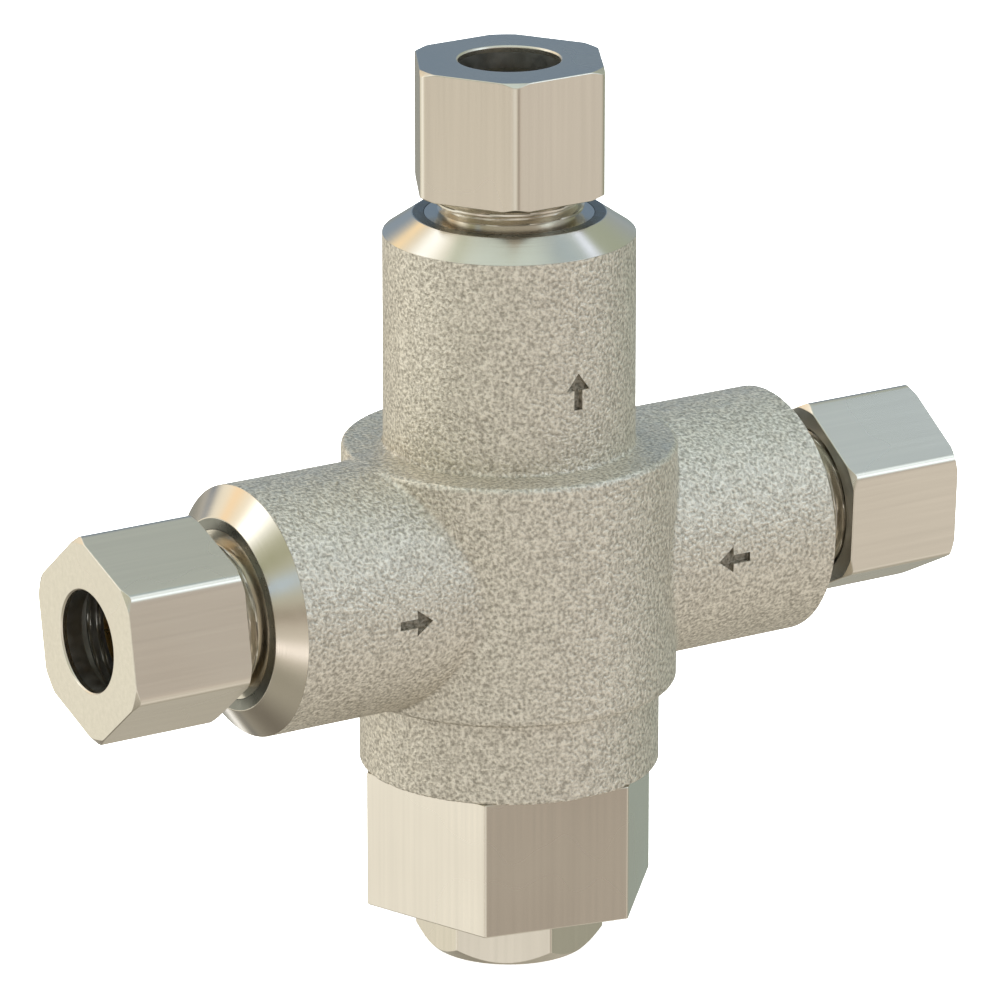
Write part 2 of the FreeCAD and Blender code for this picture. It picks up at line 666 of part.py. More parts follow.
def spindle():
    """Adjusting screw: threaded cup above, sealed stem and key socket below."""
    half_groove = SPINDLE_GROOVE_WIDTH / 2
    stem = [(SPINDLE_HEAD_RADIUS, SPINDLE_HEAD[0]), (SPINDLE_STEM_RADIUS, SPINDLE_HEAD[0])]
    for middle in SPINDLE_GROOVES:
        stem += [
            (SPINDLE_STEM_RADIUS, middle + half_groove),
            (SPINDLE_GROOVE_RADIUS, middle + half_groove),
            (SPINDLE_GROOVE_RADIUS, middle - half_groove),
            (SPINDLE_STEM_RADIUS, middle - half_groove),
        ]
    body = turned([
        (0, SPINDLE_CUP_BOTTOM),
        (SPINDLE_CUP_RADIUS, SPINDLE_CUP_BOTTOM),
        (SPINDLE_CUP_RADIUS, CLIP_GROOVE[0]),
        (CLIP_GROOVE_RADIUS, CLIP_GROOVE[0]),
        (CLIP_GROOVE_RADIUS, CLIP_GROOVE[1]),
        (SPINDLE_CUP_RADIUS, CLIP_GROOVE[1]),
        (SPINDLE_CUP_RADIUS, SPINDLE_HEAD[1]),
        (SPINDLE_HEAD_RADIUS, SPINDLE_HEAD[1]),
        *stem,
        (SPINDLE_STEM_RADIUS, SPINDLE_BOTTOM),
        (0, SPINDLE_BOTTOM),
    ])
    key = hexagon(SPINDLE_KEY_ACROSS_FLATS, SPINDLE_BOTTOM - 1, SPINDLE_BOTTOM + SPINDLE_KEY_DEPTH, 0)
    return at_port(body.cut(key))


def spindle_o_rings():
    """Pair of seals round the spindle's stem."""
    inner = SPINDLE_GROOVE_RADIUS + SPINDLE_RING_CLEARANCE
    outer = SPINDLE_SEAL_BORE - SPINDLE_RING_CLEARANCE
    return at_port(Part.makeCompound([o_ring(inner, outer, height) for height in SPINDLE_GROOVES]))


def plunger():
    """Sprung cup in the spindle that gives way when the wax expands too far."""
    low, high = PLUNGER_HEAD
    head = cylinder(PLUNGER_HEAD_RADIUS, low, high)
    return at_port(head.fuse(cylinder(PLUNGER_NOSE_RADIUS, high, PLUNGER_TOP)))


def plunger_clip():
    """Spring clip that holds the plunger in the spindle."""
    low = CLIP_GROOVE[0] + CLIP_CLEARANCE
    high = CLIP_GROOVE[1] - CLIP_CLEARANCE
    outer = CLIP_GROOVE_RADIUS - CLIP_CLEARANCE
    return at_port(split_ring(CLIP_INNER, outer, low, high, CLIP_OPENING))


def overtravel_spring():
    """Stiff spring under the plunger."""
    return at_port(coil_spring(
        OVERTRAVEL_SPRING_RADIUS,
        OVERTRAVEL_SPRING_WIRE,
        OVERTRAVEL_SPRING_TURNS,
        SPINDLE_CUP_BOTTOM,
        PLUNGER_HEAD[0],
    ))


def cap():
    """Small hexagon cap that covers the adjusting spindle."""
    bottom = -PORT_AXIS_HEIGHT
    body = hexagon(CAP_ACROSS_FLATS, bottom, CAP_TOP, CAP_CORNER_ANGLE)
    body = body.common(corner_turning(CAP_CHAMFER_CIRCLE, CAP_CHAMFER_SLOPE, bottom, CAP_TOP, "low"))
    return at_port(body.cut(cylinder(CAP_THREAD_BORE, CAP_FLOOR, CAP_TOP + 1)))


def cap_gasket():
    """Flat sealing washer between the cap's floor and the bonnet's boss."""
    inner, outer = GASKET_RADII
    low = CAP_FLOOR + SPRING_END_GAP
    return at_port(tube(outer, inner, low, low + GASKET_THICKNESS))


def all_nodes():
    """Every piece by its node name."""
    nodes = {
        "valve_body": valve_body(),
        "shuttle": shuttle(),
        "shuttle_o_ring": shuttle_o_ring(),
        "thermostat_element": thermostat_element(),
        "thermostat_piston": thermostat_piston(),
        "return_spring": return_spring(),
        "bonnet": bonnet(),
        "bonnet_o_ring": bonnet_o_ring(),
        "spindle_stop_ring": spindle_stop_ring(),
        "spindle": spindle(),
        "spindle_o_rings": spindle_o_rings(),
        "plunger": plunger(),
        "plunger_clip": plunger_clip(),
        "overtravel_spring": overtravel_spring(),
        "cap": cap(),
        "cap_gasket": cap_gasket(),
    }
    for port in PORT_REACHES:
        nodes[port + "_connector"] = connector(port)
        nodes[port + "_connector_o_ring"] = connector_o_ring(port)
        nodes[port + "_nut"] = compression_nut(port)
        nodes[port + "_ferrule"] = ferrule(port)
    for port in ("hot", "cold"):
        nodes[port + "_strainer"] = strainer(port)
        nodes[port + "_check_housing"] = check_housing(port)
        nodes[port + "_check_o_ring"] = check_o_ring(port)
        nodes[port + "_check_poppet"] = check_poppet(port)
        nodes[port + "_check_seal"] = check_seal(port)
        nodes[port + "_check_spring"] = check_spring(port)
    return nodes


os.makedirs("parts", exist_ok=True)
for node, shape in all_nodes().items():
    shape.exportStep("parts/" + node + ".step")
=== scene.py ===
import math

import bmesh
import bpy
import numpy as np
from mathutils import Matrix, Vector


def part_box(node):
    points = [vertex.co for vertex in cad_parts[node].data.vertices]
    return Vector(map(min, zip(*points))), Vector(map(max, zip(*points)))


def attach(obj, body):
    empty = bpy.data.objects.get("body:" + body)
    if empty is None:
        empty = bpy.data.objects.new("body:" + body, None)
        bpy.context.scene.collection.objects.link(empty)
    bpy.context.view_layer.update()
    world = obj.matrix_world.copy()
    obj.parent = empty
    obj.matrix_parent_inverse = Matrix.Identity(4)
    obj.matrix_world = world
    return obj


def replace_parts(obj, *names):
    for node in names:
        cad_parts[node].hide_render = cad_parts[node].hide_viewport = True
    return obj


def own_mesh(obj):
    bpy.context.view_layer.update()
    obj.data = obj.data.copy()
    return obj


# Thermostatic mixing valve. Shapes are built in millimetres, about the Z axis, with
# heights measured from the crossing of the port axes, and are then laid along a port.

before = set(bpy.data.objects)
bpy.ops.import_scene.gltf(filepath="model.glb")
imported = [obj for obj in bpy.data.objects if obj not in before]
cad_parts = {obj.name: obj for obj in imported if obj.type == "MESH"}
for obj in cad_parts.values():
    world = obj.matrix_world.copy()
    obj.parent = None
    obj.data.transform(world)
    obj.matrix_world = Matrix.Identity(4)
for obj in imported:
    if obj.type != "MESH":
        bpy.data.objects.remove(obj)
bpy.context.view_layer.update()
MM = 0.001

# ---- sizes from the frame


def middle_of(node):
    """Middle of a CAD node's box, in millimetres."""
    low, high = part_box(node)
    return (low + high) / (2 * MM)


PORT_AXIS_HEIGHT = middle_of("hot_nut").z
REACHES = {
    "hot": -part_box("hot_nut")[0].x / MM,
    "cold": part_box("cold_nut")[1].x / MM,
    "outlet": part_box("outlet_nut")[1].z / MM - PORT_AXIS_HEIGHT,
}
NUT_LENGTH = (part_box("cold_nut")[1].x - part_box("cold_nut")[0].x) / MM
RIM_REACHES = {
    "hot": -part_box("valve_body")[0].x / MM,
    "cold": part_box("valve_body")[1].x / MM,
    "outlet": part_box("valve_body")[1].z / MM - PORT_AXIS_HEIGHT,
}
BARREL_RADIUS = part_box("valve_body")[1].y / MM
RING_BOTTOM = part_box("valve_body")[0].z / MM - PORT_AXIS_HEIGHT
BONNET_BORE_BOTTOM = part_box("bonnet")[0].z / MM - PORT_AXIS_HEIGHT
BONNET_SPIGOT_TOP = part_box("bonnet")[1].z / MM - PORT_AXIS_HEIGHT
CAP_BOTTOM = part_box("cap")[0].z / MM - PORT_AXIS_HEIGHT
CAP_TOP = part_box("cap")[1].z / MM - PORT_AXIS_HEIGHT

# ---- sizes of the casting

BARREL_TOP = 11.95
BARREL_BOTTOM = -11.8
BARREL_EDGE = 0.5
RING_RADIUS = 14.5
RING_EDGE = 0.15
ARM_RADIUS = 12.1
RIM_RADIUS = 9.26
RIM_CHAMFER_LENGTH = 1.94
SHANK_BORE = 8.15
SHANK_LENGTH = 8.0
RING_BLEND = 0.3
NECK_BLEND = 0.25
ARM_BLEND = 0.35
CUT_OVERRUN = 1.0

# The casting's arms and neck run on to a far end before they are trimmed at the rims.
FAR_END = 60.0
FAR_EDGE = 1.0
CASTING_CELL = 0.34
SKIN_MARGIN = 1.0
LEAST_SLOPE = 0.25
SURFACE_PASSES = 6
# Distances from the casting's outside: of its own skin, and of the arrows' recesses, whose faces take a
# darker copy of the plate as painted shade.
SKIN_TOLERANCE = 0.03
RECESS_DISTANCE = (-0.9, -0.1)
RIM_ROUNDING = 0.07

MAIN_BORE = 12.0
GUIDE_BORE = 10.05
GUIDE_HALF_LENGTH = 2.4
HOT_SEAT_HEIGHT = 7.2
MIXING_BORE = 8.0
CHECK_CHAMBER_RADIUS = 7.0
CHECK_CHAMBER_BOTTOM = 13.9
FEED_RADIUS = 2.2
FEED_OFFSET = 4.8
FEED_START = 9.0
FEED_COLUMNS = 24

ARROW_LENGTH = 3.6
ARROW_HEAD_LENGTH = 1.7
ARROW_HEAD_WIDTH = 2.6
ARROW_SHAFT_WIDTH = 0.9
ARROW_DEPTH = 0.35
OUTLET_ARROW_HEIGHT = 19.8
INLET_ARROW_REACH = 18.0

# ---- sizes of the fittings

NUT_ACROSS_FLATS = 17.46
NUT_CORNERS = {"hot": 9.4, "cold": 2.7, "outlet": 1.1}
NUT_CHAMFER_CIRCLE = 9.35
NUT_SLOPE = math.tan(math.radians(30))
NUT_CORNER_ROUNDING = 0.9
TUBE_HOLE_RADIUS = 4.87
HOLE_CHAMFER = 0.15
HOLE_ROUNDING = 0.06
HOLE_MARGIN = 0.6
NUT_LAND = 2.2
NUT_SEAT_RADIUS = 6.0
NUT_SEAT_END = 3.33
NUT_RELIEF_END = 3.9
NUT_MOUTH_DEPTH = 0.5

THREAD_MAJOR = 7.14
THREAD_MINOR = 6.5
THREAD_PITCH = 25.4 / 24
THREAD_CLEARANCE = 0.06
STUB_LENGTH = 7.85
STUB_RELIEF_RADIUS = 6.3
STUB_RELIEF_END = 0.25
STUB_THREAD_START = 0.3
STUB_TIP_LENGTH = 0.3
STUB_TIP_DROP = 0.15
MOUTH_RADIUS = 6.0
MOUTH_CONE_BOTTOM = 2.55
TUBE_STOP = 0.3
FLOW_RADII = {"hot": 3.6, "cold": 3.6, "outlet": 3.9}
SHANK_RADIUS = 8.1
SHANK_GROOVE_RADIUS = 7.1
SHANK_GROOVE = (-6.6, -5.2)
STRAINER_POCKET_RADIUS = 6.2
STRAINER_POCKET_TOP = -3.0

BONNET_ACROSS_FLATS = 25.5
BONNET_CORNER = 48.5
BONNET_TOP = -20.1
BONNET_BOTTOM = -33.6
BONNET_CORNER_ROUNDING = 0.35
SPIGOT_RADIUS = 11.95
SPIGOT_GROOVE = (-12.7, -11.1)
SPIGOT_GROOVE_RADIUS = 10.85
SPIGOT_POCKET_RADIUS = 7.8
SPIGOT_POCKET_BOTTOM = -15.0
SPINDLE_BORE = 5.0
SPINDLE_STEP = -27.3
SPINDLE_SEAL_BORE = 3.6
STOP_GROOVE = (-16.0, -15.1)
STOP_GROOVE_RADIUS = 5.6

CAP_ACROSS_FLATS = 15.875
CAP_CORNER = 23.7
CAP_CHAMFER_CIRCLE = 7.75
CAP_SLOPE = math.tan(math.radians(45))
CAP_CORNER_ROUNDING = 0.3
CAP_FLOOR = -38.02
CAP_RELIEF_LENGTH = 0.5
CAP_MOUTH_DEPTH = 0.3
CAP_CLEARANCE = 0.05
BOSS_MAJOR = 5.95
BOSS_MINOR = 5.35
BOSS_PITCH = 1.0
BOSS_TIP_LENGTH = 0.25
BOSS_TIP_DROP = 0.1

EDGE_ROUNDING = 0.12
RELIEF_SLOPE = 2
# Stands for the circle of a hexagon's end whose corners are not turned down.
NO_TURNING = 99.0
# Gap where two faces, or two rings of one wall, would otherwise touch.
HAIR_GAP = 0.02
AXIS_RADIUS = 0.0005

# ---- fineness of the meshes

COLUMNS = 128
CORNER_COLUMNS = 7
# Columns on half of a hexagon's side, as shares of the way from the corner to the middle.
SIDE_SHARES = (0.04, 0.09, 0.14, 0.2, 0.27, 0.36, 0.48, 0.64, 0.82, 1.0)
MERGE_DISTANCE = 0.002
SOFTENING = 0.1
LARGEST_SHARE = 0.45

THREAD_ROWS_PER_TURN = 12
THREAD_FADE = 0.18
# Shares of half a pitch taken by the root of a thread and by its flank.
THREAD_ROOT_SHARE = 0.18
THREAD_FLANK_SHARE = 0.6

# ---- mesh helpers


def port_matrix(port="outlet"):
    """Placement of a piece drawn along Z, in metres, on the named port's axis."""
    turn = {"hot": -90, "cold": 90, "outlet": 0}[port]
    place = Matrix.Translation((0, 0, PORT_AXIS_HEIGHT * MM))
    return place @ Matrix.Rotation(math.radians(turn), 4, "Y")


def weighted_normals(bm, sharp_angle):
    """Normal of every face corner, leaning to the larger of the faces that meet smoothly."""
    bm.faces.index_update()
    limit = math.cos(math.radians(sharp_angle))
    areas = [face.calc_area() for face in bm.faces]
    normals = []
    for face in bm.faces:
        for vert in face.verts:
            total = Vector()
            for beside in vert.link_faces:
                if beside.normal.dot(face.normal) > limit:
                    total += beside.normal * areas[beside.index]
            normals.append(total.normalized())
    return normals


def add_object(name, bm, body, materials, port="outlet", sharp_angle=33, normals=None):
    """Turn a bmesh in millimetres into a piece that rides on a body."""
    if normals is None:
        bmesh.ops.recalc_face_normals(bm, faces=bm.faces)
        normals = weighted_normals(bm, sharp_angle)
    bmesh.ops.scale(bm, vec=(MM, MM, MM), verts=bm.verts)
    mesh = bpy.data.meshes.new(name)
    bm.to_mesh(mesh)
    bm.free()
    mesh.polygons.foreach_set("use_smooth", [True] * len(mesh.polygons))
    mesh.set_sharp_from_angle(angle=math.radians(sharp_angle))
    mesh.normals_split_custom_set(normals)
    piece = bpy.data.objects.new(name, mesh)
    bpy.context.scene.collection.objects.link(piece)
    piece.matrix_world = port_matrix(port)
    for material in materials:
        mesh.materials.append(material)
    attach(piece, body)
    return piece


def round_angles(columns=COLUMNS):
    """Azimuths of the columns of a round piece."""
    return np.arange(columns) * 2 * math.pi / columns


def corner_span(across_flats, rounding):
    """Half the angle that a hexagon's rounded corner takes up, seen from the axis."""
    apothem = across_flats / 2
    tangent = (apothem - rounding) * math.tan(math.pi / 6)
    return math.pi / 6 - math.atan2(tangent, apothem)


def hexagon_angles(across_flats, corner, rounding):
    """Azimuths of a hexagon's columns, closest together round its corners."""
    span = corner_span(across_flats, rounding)
    half_side = [share * (math.pi / 6 - span) + span for share in SIDE_SHARES]
    other_half = [math.pi / 3 - angle for angle in reversed(half_side[:-1])]
    corner_columns = np.linspace(-span, span, CORNER_COLUMNS)
    sector = np.concatenate([corner_columns, half_side, other_half])
    starts = math.radians(corner) + np.arange(6) * math.pi / 3
    return (starts[:, None] + sector[None, :]).ravel()


def hexagon_radius(angles, across_flats, corner, rounding):
    """Distance from the axis to the side of a hexagon with rounded corners."""
    apothem = across_flats / 2
    sixth = math.pi / 6
    from_corner = (angles - math.radians(corner) + sixth) % (2 * sixth) - sixth
    flat = apothem / np.cos(sixth - np.abs(from_corner))
    centre = (apothem - rounding) / math.cos(sixth)
    sideways = np.maximum(rounding ** 2 - (centre * np.sin(from_corner)) ** 2, 0)
    curved = centre * np.cos(from_corner) + np.sqrt(sideways)
    return np.where(np.abs(from_corner) < corner_span(across_flats, rounding), curved, flat)


def ring_solid(rings, angles, inside_from=None):
    """Closed solid made of rings, each a (radius, height) that may differ by column.

    The bands from ring number inside_from on use the piece's second material.
    """
    bm = bmesh.new()
    rows = []
    for radius, height in rings:
        radius = np.broadcast_to(radius, angles.shape)
        height = np.broadcast_to(height, angles.shape)
        points = zip(radius * np.cos(angles), radius * np.sin(angles), height)
        rows.append([bm.verts.new(point) for point in points])
    count = len(angles)
    for row, ring in enumerate(rows):
        following = rows[(row + 1) % len(rows)]
        for column in range(count):
            beside = (column + 1) % count
            face = bm.faces.new((ring[column], ring[beside], following[beside], following[column]))
            if inside_from is not None and row >= inside_from:
                face.material_index = 1
    bmesh.ops.remove_doubles(bm, verts=bm.verts, dist=MERGE_DISTANCE)
    return bm


def thread_radius(angles, height, start, pitch, minor, major):
    """Radius of a right-hand V thread at each azimuth for one height."""
    turn = ((height - start) / pitch - angles / (2 * math.pi)) % 1.0
    ramp = 1 - np.abs(2 * turn - 1)
    depth = np.clip((ramp - THREAD_ROOT_SHARE) / THREAD_FLANK_SHARE, 0, 1)
    return minor + (major - minor) * depth


def thread_rings(angles, low, high, start, pitch, minor, major):
    """Rings of a threaded wall; the thread fades out over a length at both ends."""
    rows = max(int((high - low) / pitch * THREAD_ROWS_PER_TURN), 2)
    rings = []
    for height in np.linspace(low, high, rows + 1):
        depth = min(1.0, (height - low) / THREAD_FADE, (high - height) / THREAD_FADE)
        top = minor + (major - minor) * max(depth, 0.0)
        radius = thread_radius(angles, height, start, pitch, minor, major)
        rings.append((np.minimum(radius, top), height))
    return rings


def end_rings(side, circle, slope):
    """Rings that take a prism's side over to its end face, as (radius, depth below the face).

    The corners are turned down to a circle at a slope, and every edge is rounded.
    """
    length = math.hypot(1, slope)
    face_centre = np.minimum(circle - EDGE_ROUNDING * (length - 1) / slope, side - EDGE_ROUNDING)
    turned_depth = slope * (side - circle) + EDGE_ROUNDING * (length - slope)
    side_centre = np.maximum(turned_depth, EDGE_ROUNDING)
    turning = math.atan2(1, slope)
    rings = []
    for angle in np.linspace(0, turning, 3):
        radius = side - EDGE_ROUNDING * (1 - math.cos(angle))
        rings.append((radius, side_centre - EDGE_ROUNDING * math.sin(angle)))
    for angle in np.linspace(turning, math.pi / 2, 3):
        depth = EDGE_ROUNDING * (1 - math.sin(angle))
        rings.append((face_centre + EDGE_ROUNDING * math.cos(angle), depth + 0 * side))
    return rings


def hexagon_rings(side, low, high, low_circle, high_circle, slope):
    """Rings of a hexagon's outside, from its low end face to its high one."""
    low_end = [(radius, low + depth) for radius, depth in end_rings(side, low_circle, slope)]
    high_end = [(radius, high - depth) for radius, depth in end_rings(side, high_circle, slope)]
    return low_end[::-1] + high_end


def softened(outline, reach=SOFTENING):
    """Turned outline of (radius, height) points with its inner points rounded off."""
    points = [np.array(point, float) for point in outline]
    rounded = [points[0]]
    for before, point, after in zip(points, points[1:], points[2:]):
        to_before = before - point
        to_after = after - point
        share_before = min(reach / np.linalg.norm(to_before), LARGEST_SHARE)
        share_after = min(reach / np.linalg.norm(to_after), LARGEST_SHARE)
        start = point + to_before * share_before
        end = point + to_after * share_after
        rounded += [start, (start + 2 * point + end) / 4, end]
    rounded.append(points[-1])
    return [(float(radius), float(height)) for radius, height in rounded]


def lathe_solid(outline, columns=COLUMNS):
    """Closed bmesh of a turned outline whose first and last points lie on the axis."""
    bm = bmesh.new()
    directions = [(math.cos(angle), math.sin(angle)) for angle in round_angles(columns)]
    bottom = bm.verts.new((0, 0, outline[0][1]))
    top = bm.verts.new((0, 0, outline[-1][1]))
    rows = []
    for radius, height in outline[1:-1]:
        rows.append([bm.verts.new((radius * x, radius * y, height)) for x, y in directions])
    for column in range(columns):
        beside = (column + 1) % columns
        bm.faces.new((bottom, rows[0][beside], rows[0][column]))
        bm.faces.new((top, rows[-1][column], rows[-1][beside]))
        for lower, upper in zip(rows, rows[1:]):
            bm.faces.new((lower[column], lower[beside], upper[beside], upper[column]))
    bmesh.ops.recalc_face_normals(bm, faces=bm.faces)
    return bm


def temporary_object(bm):
    """Object that only serves a boolean and is removed afterwards."""
    mesh = bpy.data.meshes.new("cutter")
    bm.to_mesh(mesh)
    bm.free()
    cutter = bpy.data.objects.new("cutter", mesh)
    bpy.context.scene.collection.objects.link(cutter)
    return cutter


def cut_away(bm, cutters):
    """The bmesh less each cutter, one after another."""
    target = temporary_object(bm)
    helpers = [temporary_object(cutter) for cutter in cutters]
    for helper in helpers:
        modifier = target.modifiers.new("cut", "BOOLEAN")
        modifier.operation = "DIFFERENCE"
        modifier.solver = "EXACT"
        modifier.object = helper
    evaluated = target.evaluated_get(bpy.context.evaluated_depsgraph_get())
    result = bmesh.new()
    result.from_mesh(evaluated.to_mesh())
    for used in [target] + helpers:
        bpy.data.objects.remove(used)
    return result


# ---- the casting


def capped_cylinder(along, across, radius, low, high, edge):
    """Signed distance to a cylinder with rounded edges."""
    radial = across - (radius - edge)
    axial = np.abs(along - (low + high) / 2) - ((high - low) / 2 - edge)
    outside = np.hypot(np.maximum(radial, 0), np.maximum(axial, 0))
    return outside + np.minimum(np.maximum(radial, axial), 0) - edge


def rounded_union(first, second, blend):
    """Signed distance to two shapes joined with a fillet of the blend radius."""
    near = np.hypot(np.maximum(blend - first, 0), np.maximum(blend - second, 0))
    return np.maximum(blend, np.minimum(first, second)) - near


def casting_distance(x, y, z):
    """Signed distance to the casting's outside, whose arms and neck run on past the rims."""
    from_axis = np.hypot(x, y)
    from_arms = np.hypot(y, z)
    barrel = capped_cylinder(z, from_axis, BARREL_RADIUS, BARREL_BOTTOM, BARREL_TOP, BARREL_EDGE)
    ring = capped_cylinder(z, from_axis, RING_RADIUS, RING_BOTTOM, 0, RING_EDGE)
    neck = capped_cylinder(z, from_axis, ARM_RADIUS, 0, FAR_END, FAR_EDGE)
    arms = capped_cylinder(x, from_arms, ARM_RADIUS, -FAR_END, FAR_END, FAR_EDGE)
    stem = rounded_union(rounded_union(barrel, ring, RING_BLEND), neck, NECK_BLEND)
    return rounded_union(stem, arms, ARM_BLEND)


def outward_slope(points):
    """Gradient of the casting's distance at each point."""
    step = 0.01
    x, y, z = points.T
    differences = [
        casting_distance(x + step, y, z) - casting_distance(x - step, y, z),
        casting_distance(x, y + step, z) - casting_distance(x, y - step, z),
        casting_distance(x, y, z + step) - casting_distance(x, y, z - step),
    ]
    return np.stack(differences, axis=1) / (2 * step)


def surface_points(points):
    """Move points onto the casting's surface along the distance's gradient."""
    for _ in range(SURFACE_PASSES):
        distance = casting_distance(*points.T)
        gradient = outward_slope(points)
        slope = np.maximum((gradient ** 2).sum(axis=1), LEAST_SLOPE)
        points = points - gradient * (distance / slope)[:, None]
    return points


def casting_normals(bm):
    """Normals of the skin's face corners; a zero leaves the corner of a cut to Blender."""
    bm.verts.index_update()
    slopes = outward_slope(np.array([vert.co for vert in bm.verts]))
    middles = np.array([face.calc_center_median() for face in bm.faces])
    on_skin = np.abs(casting_distance(*middles.T)) < SKIN_TOLERANCE
    flat = Vector()
    normals = []
    for face, skin in zip(bm.faces, on_skin):
        for vert in face.verts:
            normals.append(Vector(slopes[vert.index]).normalized() if skin else flat)
    return normals


def casting_skin():
    """Mesh of the casting's outside: one point in each cell that the surface crosses."""
    low = np.array([-RIM_REACHES["hot"], -BARREL_RADIUS, RING_BOTTOM]) - SKIN_MARGIN
    high = np.array([RIM_REACHES["cold"], BARREL_RADIUS, RIM_REACHES["outlet"]]) + SKIN_MARGIN
    counts = np.ceil((high - low) / CASTING_CELL).astype(int) + 1
    axes = [low[i] + CASTING_CELL * np.arange(counts[i]) for i in range(3)]
    grid = np.meshgrid(*axes, indexing="ij")
    inside = casting_distance(*grid) < 0
    corners = [
        inside[dx:dx + counts[0] - 1, dy:dy + counts[1] - 1, dz:dz + counts[2] - 1]
        for dx in (0, 1) for dy in (0, 1) for dz in (0, 1)
    ]
    filled = sum(corner.astype(int) for corner in corners)
    crossed = (filled > 0) & (filled < 8)
    number = np.full(crossed.shape, -1)
    number[crossed] = np.arange(crossed.sum())
    cells = np.argwhere(crossed)
    points = surface_points(low + (cells + 0.5) * CASTING_CELL)

    # Every grid edge that crosses the surface gives a face through the four cells round it.
    faces = []
    for axis in range(3):
        second, third = [(1, 2), (2, 0), (0, 1)][axis]
        start = [slice(1, -1)] * 3
        start[axis] = slice(0, -1)
        end = list(start)
        end[axis] = slice(1, None)
        changes = np.argwhere(inside[tuple(start)] != inside[tuple(end)])
        changes += np.array([0 if i == axis else 1 for i in range(3)])
        before = inside[tuple(changes.T)]
        quads = []
        for back_second, back_third in ((0, 0), (1, 0), (1, 1), (0, 1)):
            cell = changes.copy()
            cell[:, second] -= back_second
            cell[:, third] -= back_third
            quads.append(number[tuple(cell.T)])
        quads = np.stack(quads, axis=1)
        quads[~before] = quads[~before][:, ::-1]
        faces += quads[(quads >= 0).all(axis=1)].tolist()
    mesh = bpy.data.meshes.new("skin")
    mesh.from_pydata(points.tolist(), [], faces)
    bm = bmesh.new()
    bm.from_mesh(mesh)
    bpy.data.meshes.remove(mesh)
    return bm


def trimmed(bm, point, normal):
    """The bmesh with everything beyond a plane cut off and the cut closed."""
    whole = bm.verts[:] + bm.edges[:] + bm.faces[:]
    cut = bmesh.ops.bisect_plane(bm, geom=whole, plane_co=point, plane_no=normal, clear_outer=True)
    rim = [part for part in cut["geom_cut"] if isinstance(part, bmesh.types.BMEdge)]
    bmesh.ops.contextual_create(bm, geom=rim)


def arrow_cutter(middle, direction):
    """Prism for an arrow sunk into the front of the casting."""
    across = direction.cross(Vector((0, 1, 0)))
    half = ARROW_LENGTH / 2
    neck = half - ARROW_HEAD_LENGTH
    outline = [
        (-half, -ARROW_SHAFT_WIDTH / 2),
        (neck, -ARROW_SHAFT_WIDTH / 2),
        (neck, -ARROW_HEAD_WIDTH / 2),
        (half, 0),
        (neck, ARROW_HEAD_WIDTH / 2),
        (neck, ARROW_SHAFT_WIDTH / 2),
        (-half, ARROW_SHAFT_WIDTH / 2),
    ]
    bm = bmesh.new()
    layers = []
    for depth in (ARROW_DEPTH - ARM_RADIUS, -ARM_RADIUS - 2 * CUT_OVERRUN):
        offset = middle + Vector((0, depth, 0))
        layers.append([bm.verts.new(offset + direction * a + across * s) for a, s in outline])
    inner, outer = layers
    bm.faces.new(inner)
    bm.faces.new(outer)
    for corner in range(len(outline)):
        beside = (corner + 1) % len(outline)
        bm.faces.new((inner[corner], inner[beside], outer[beside], outer[corner]))
    bmesh.ops.recalc_face_normals(bm, faces=bm.faces)
    return bm


def laid(bm, matrix):
    """The bmesh moved by a matrix in millimetres."""
    bmesh.ops.transform(bm, matrix=matrix, verts=bm.verts)
    return bm


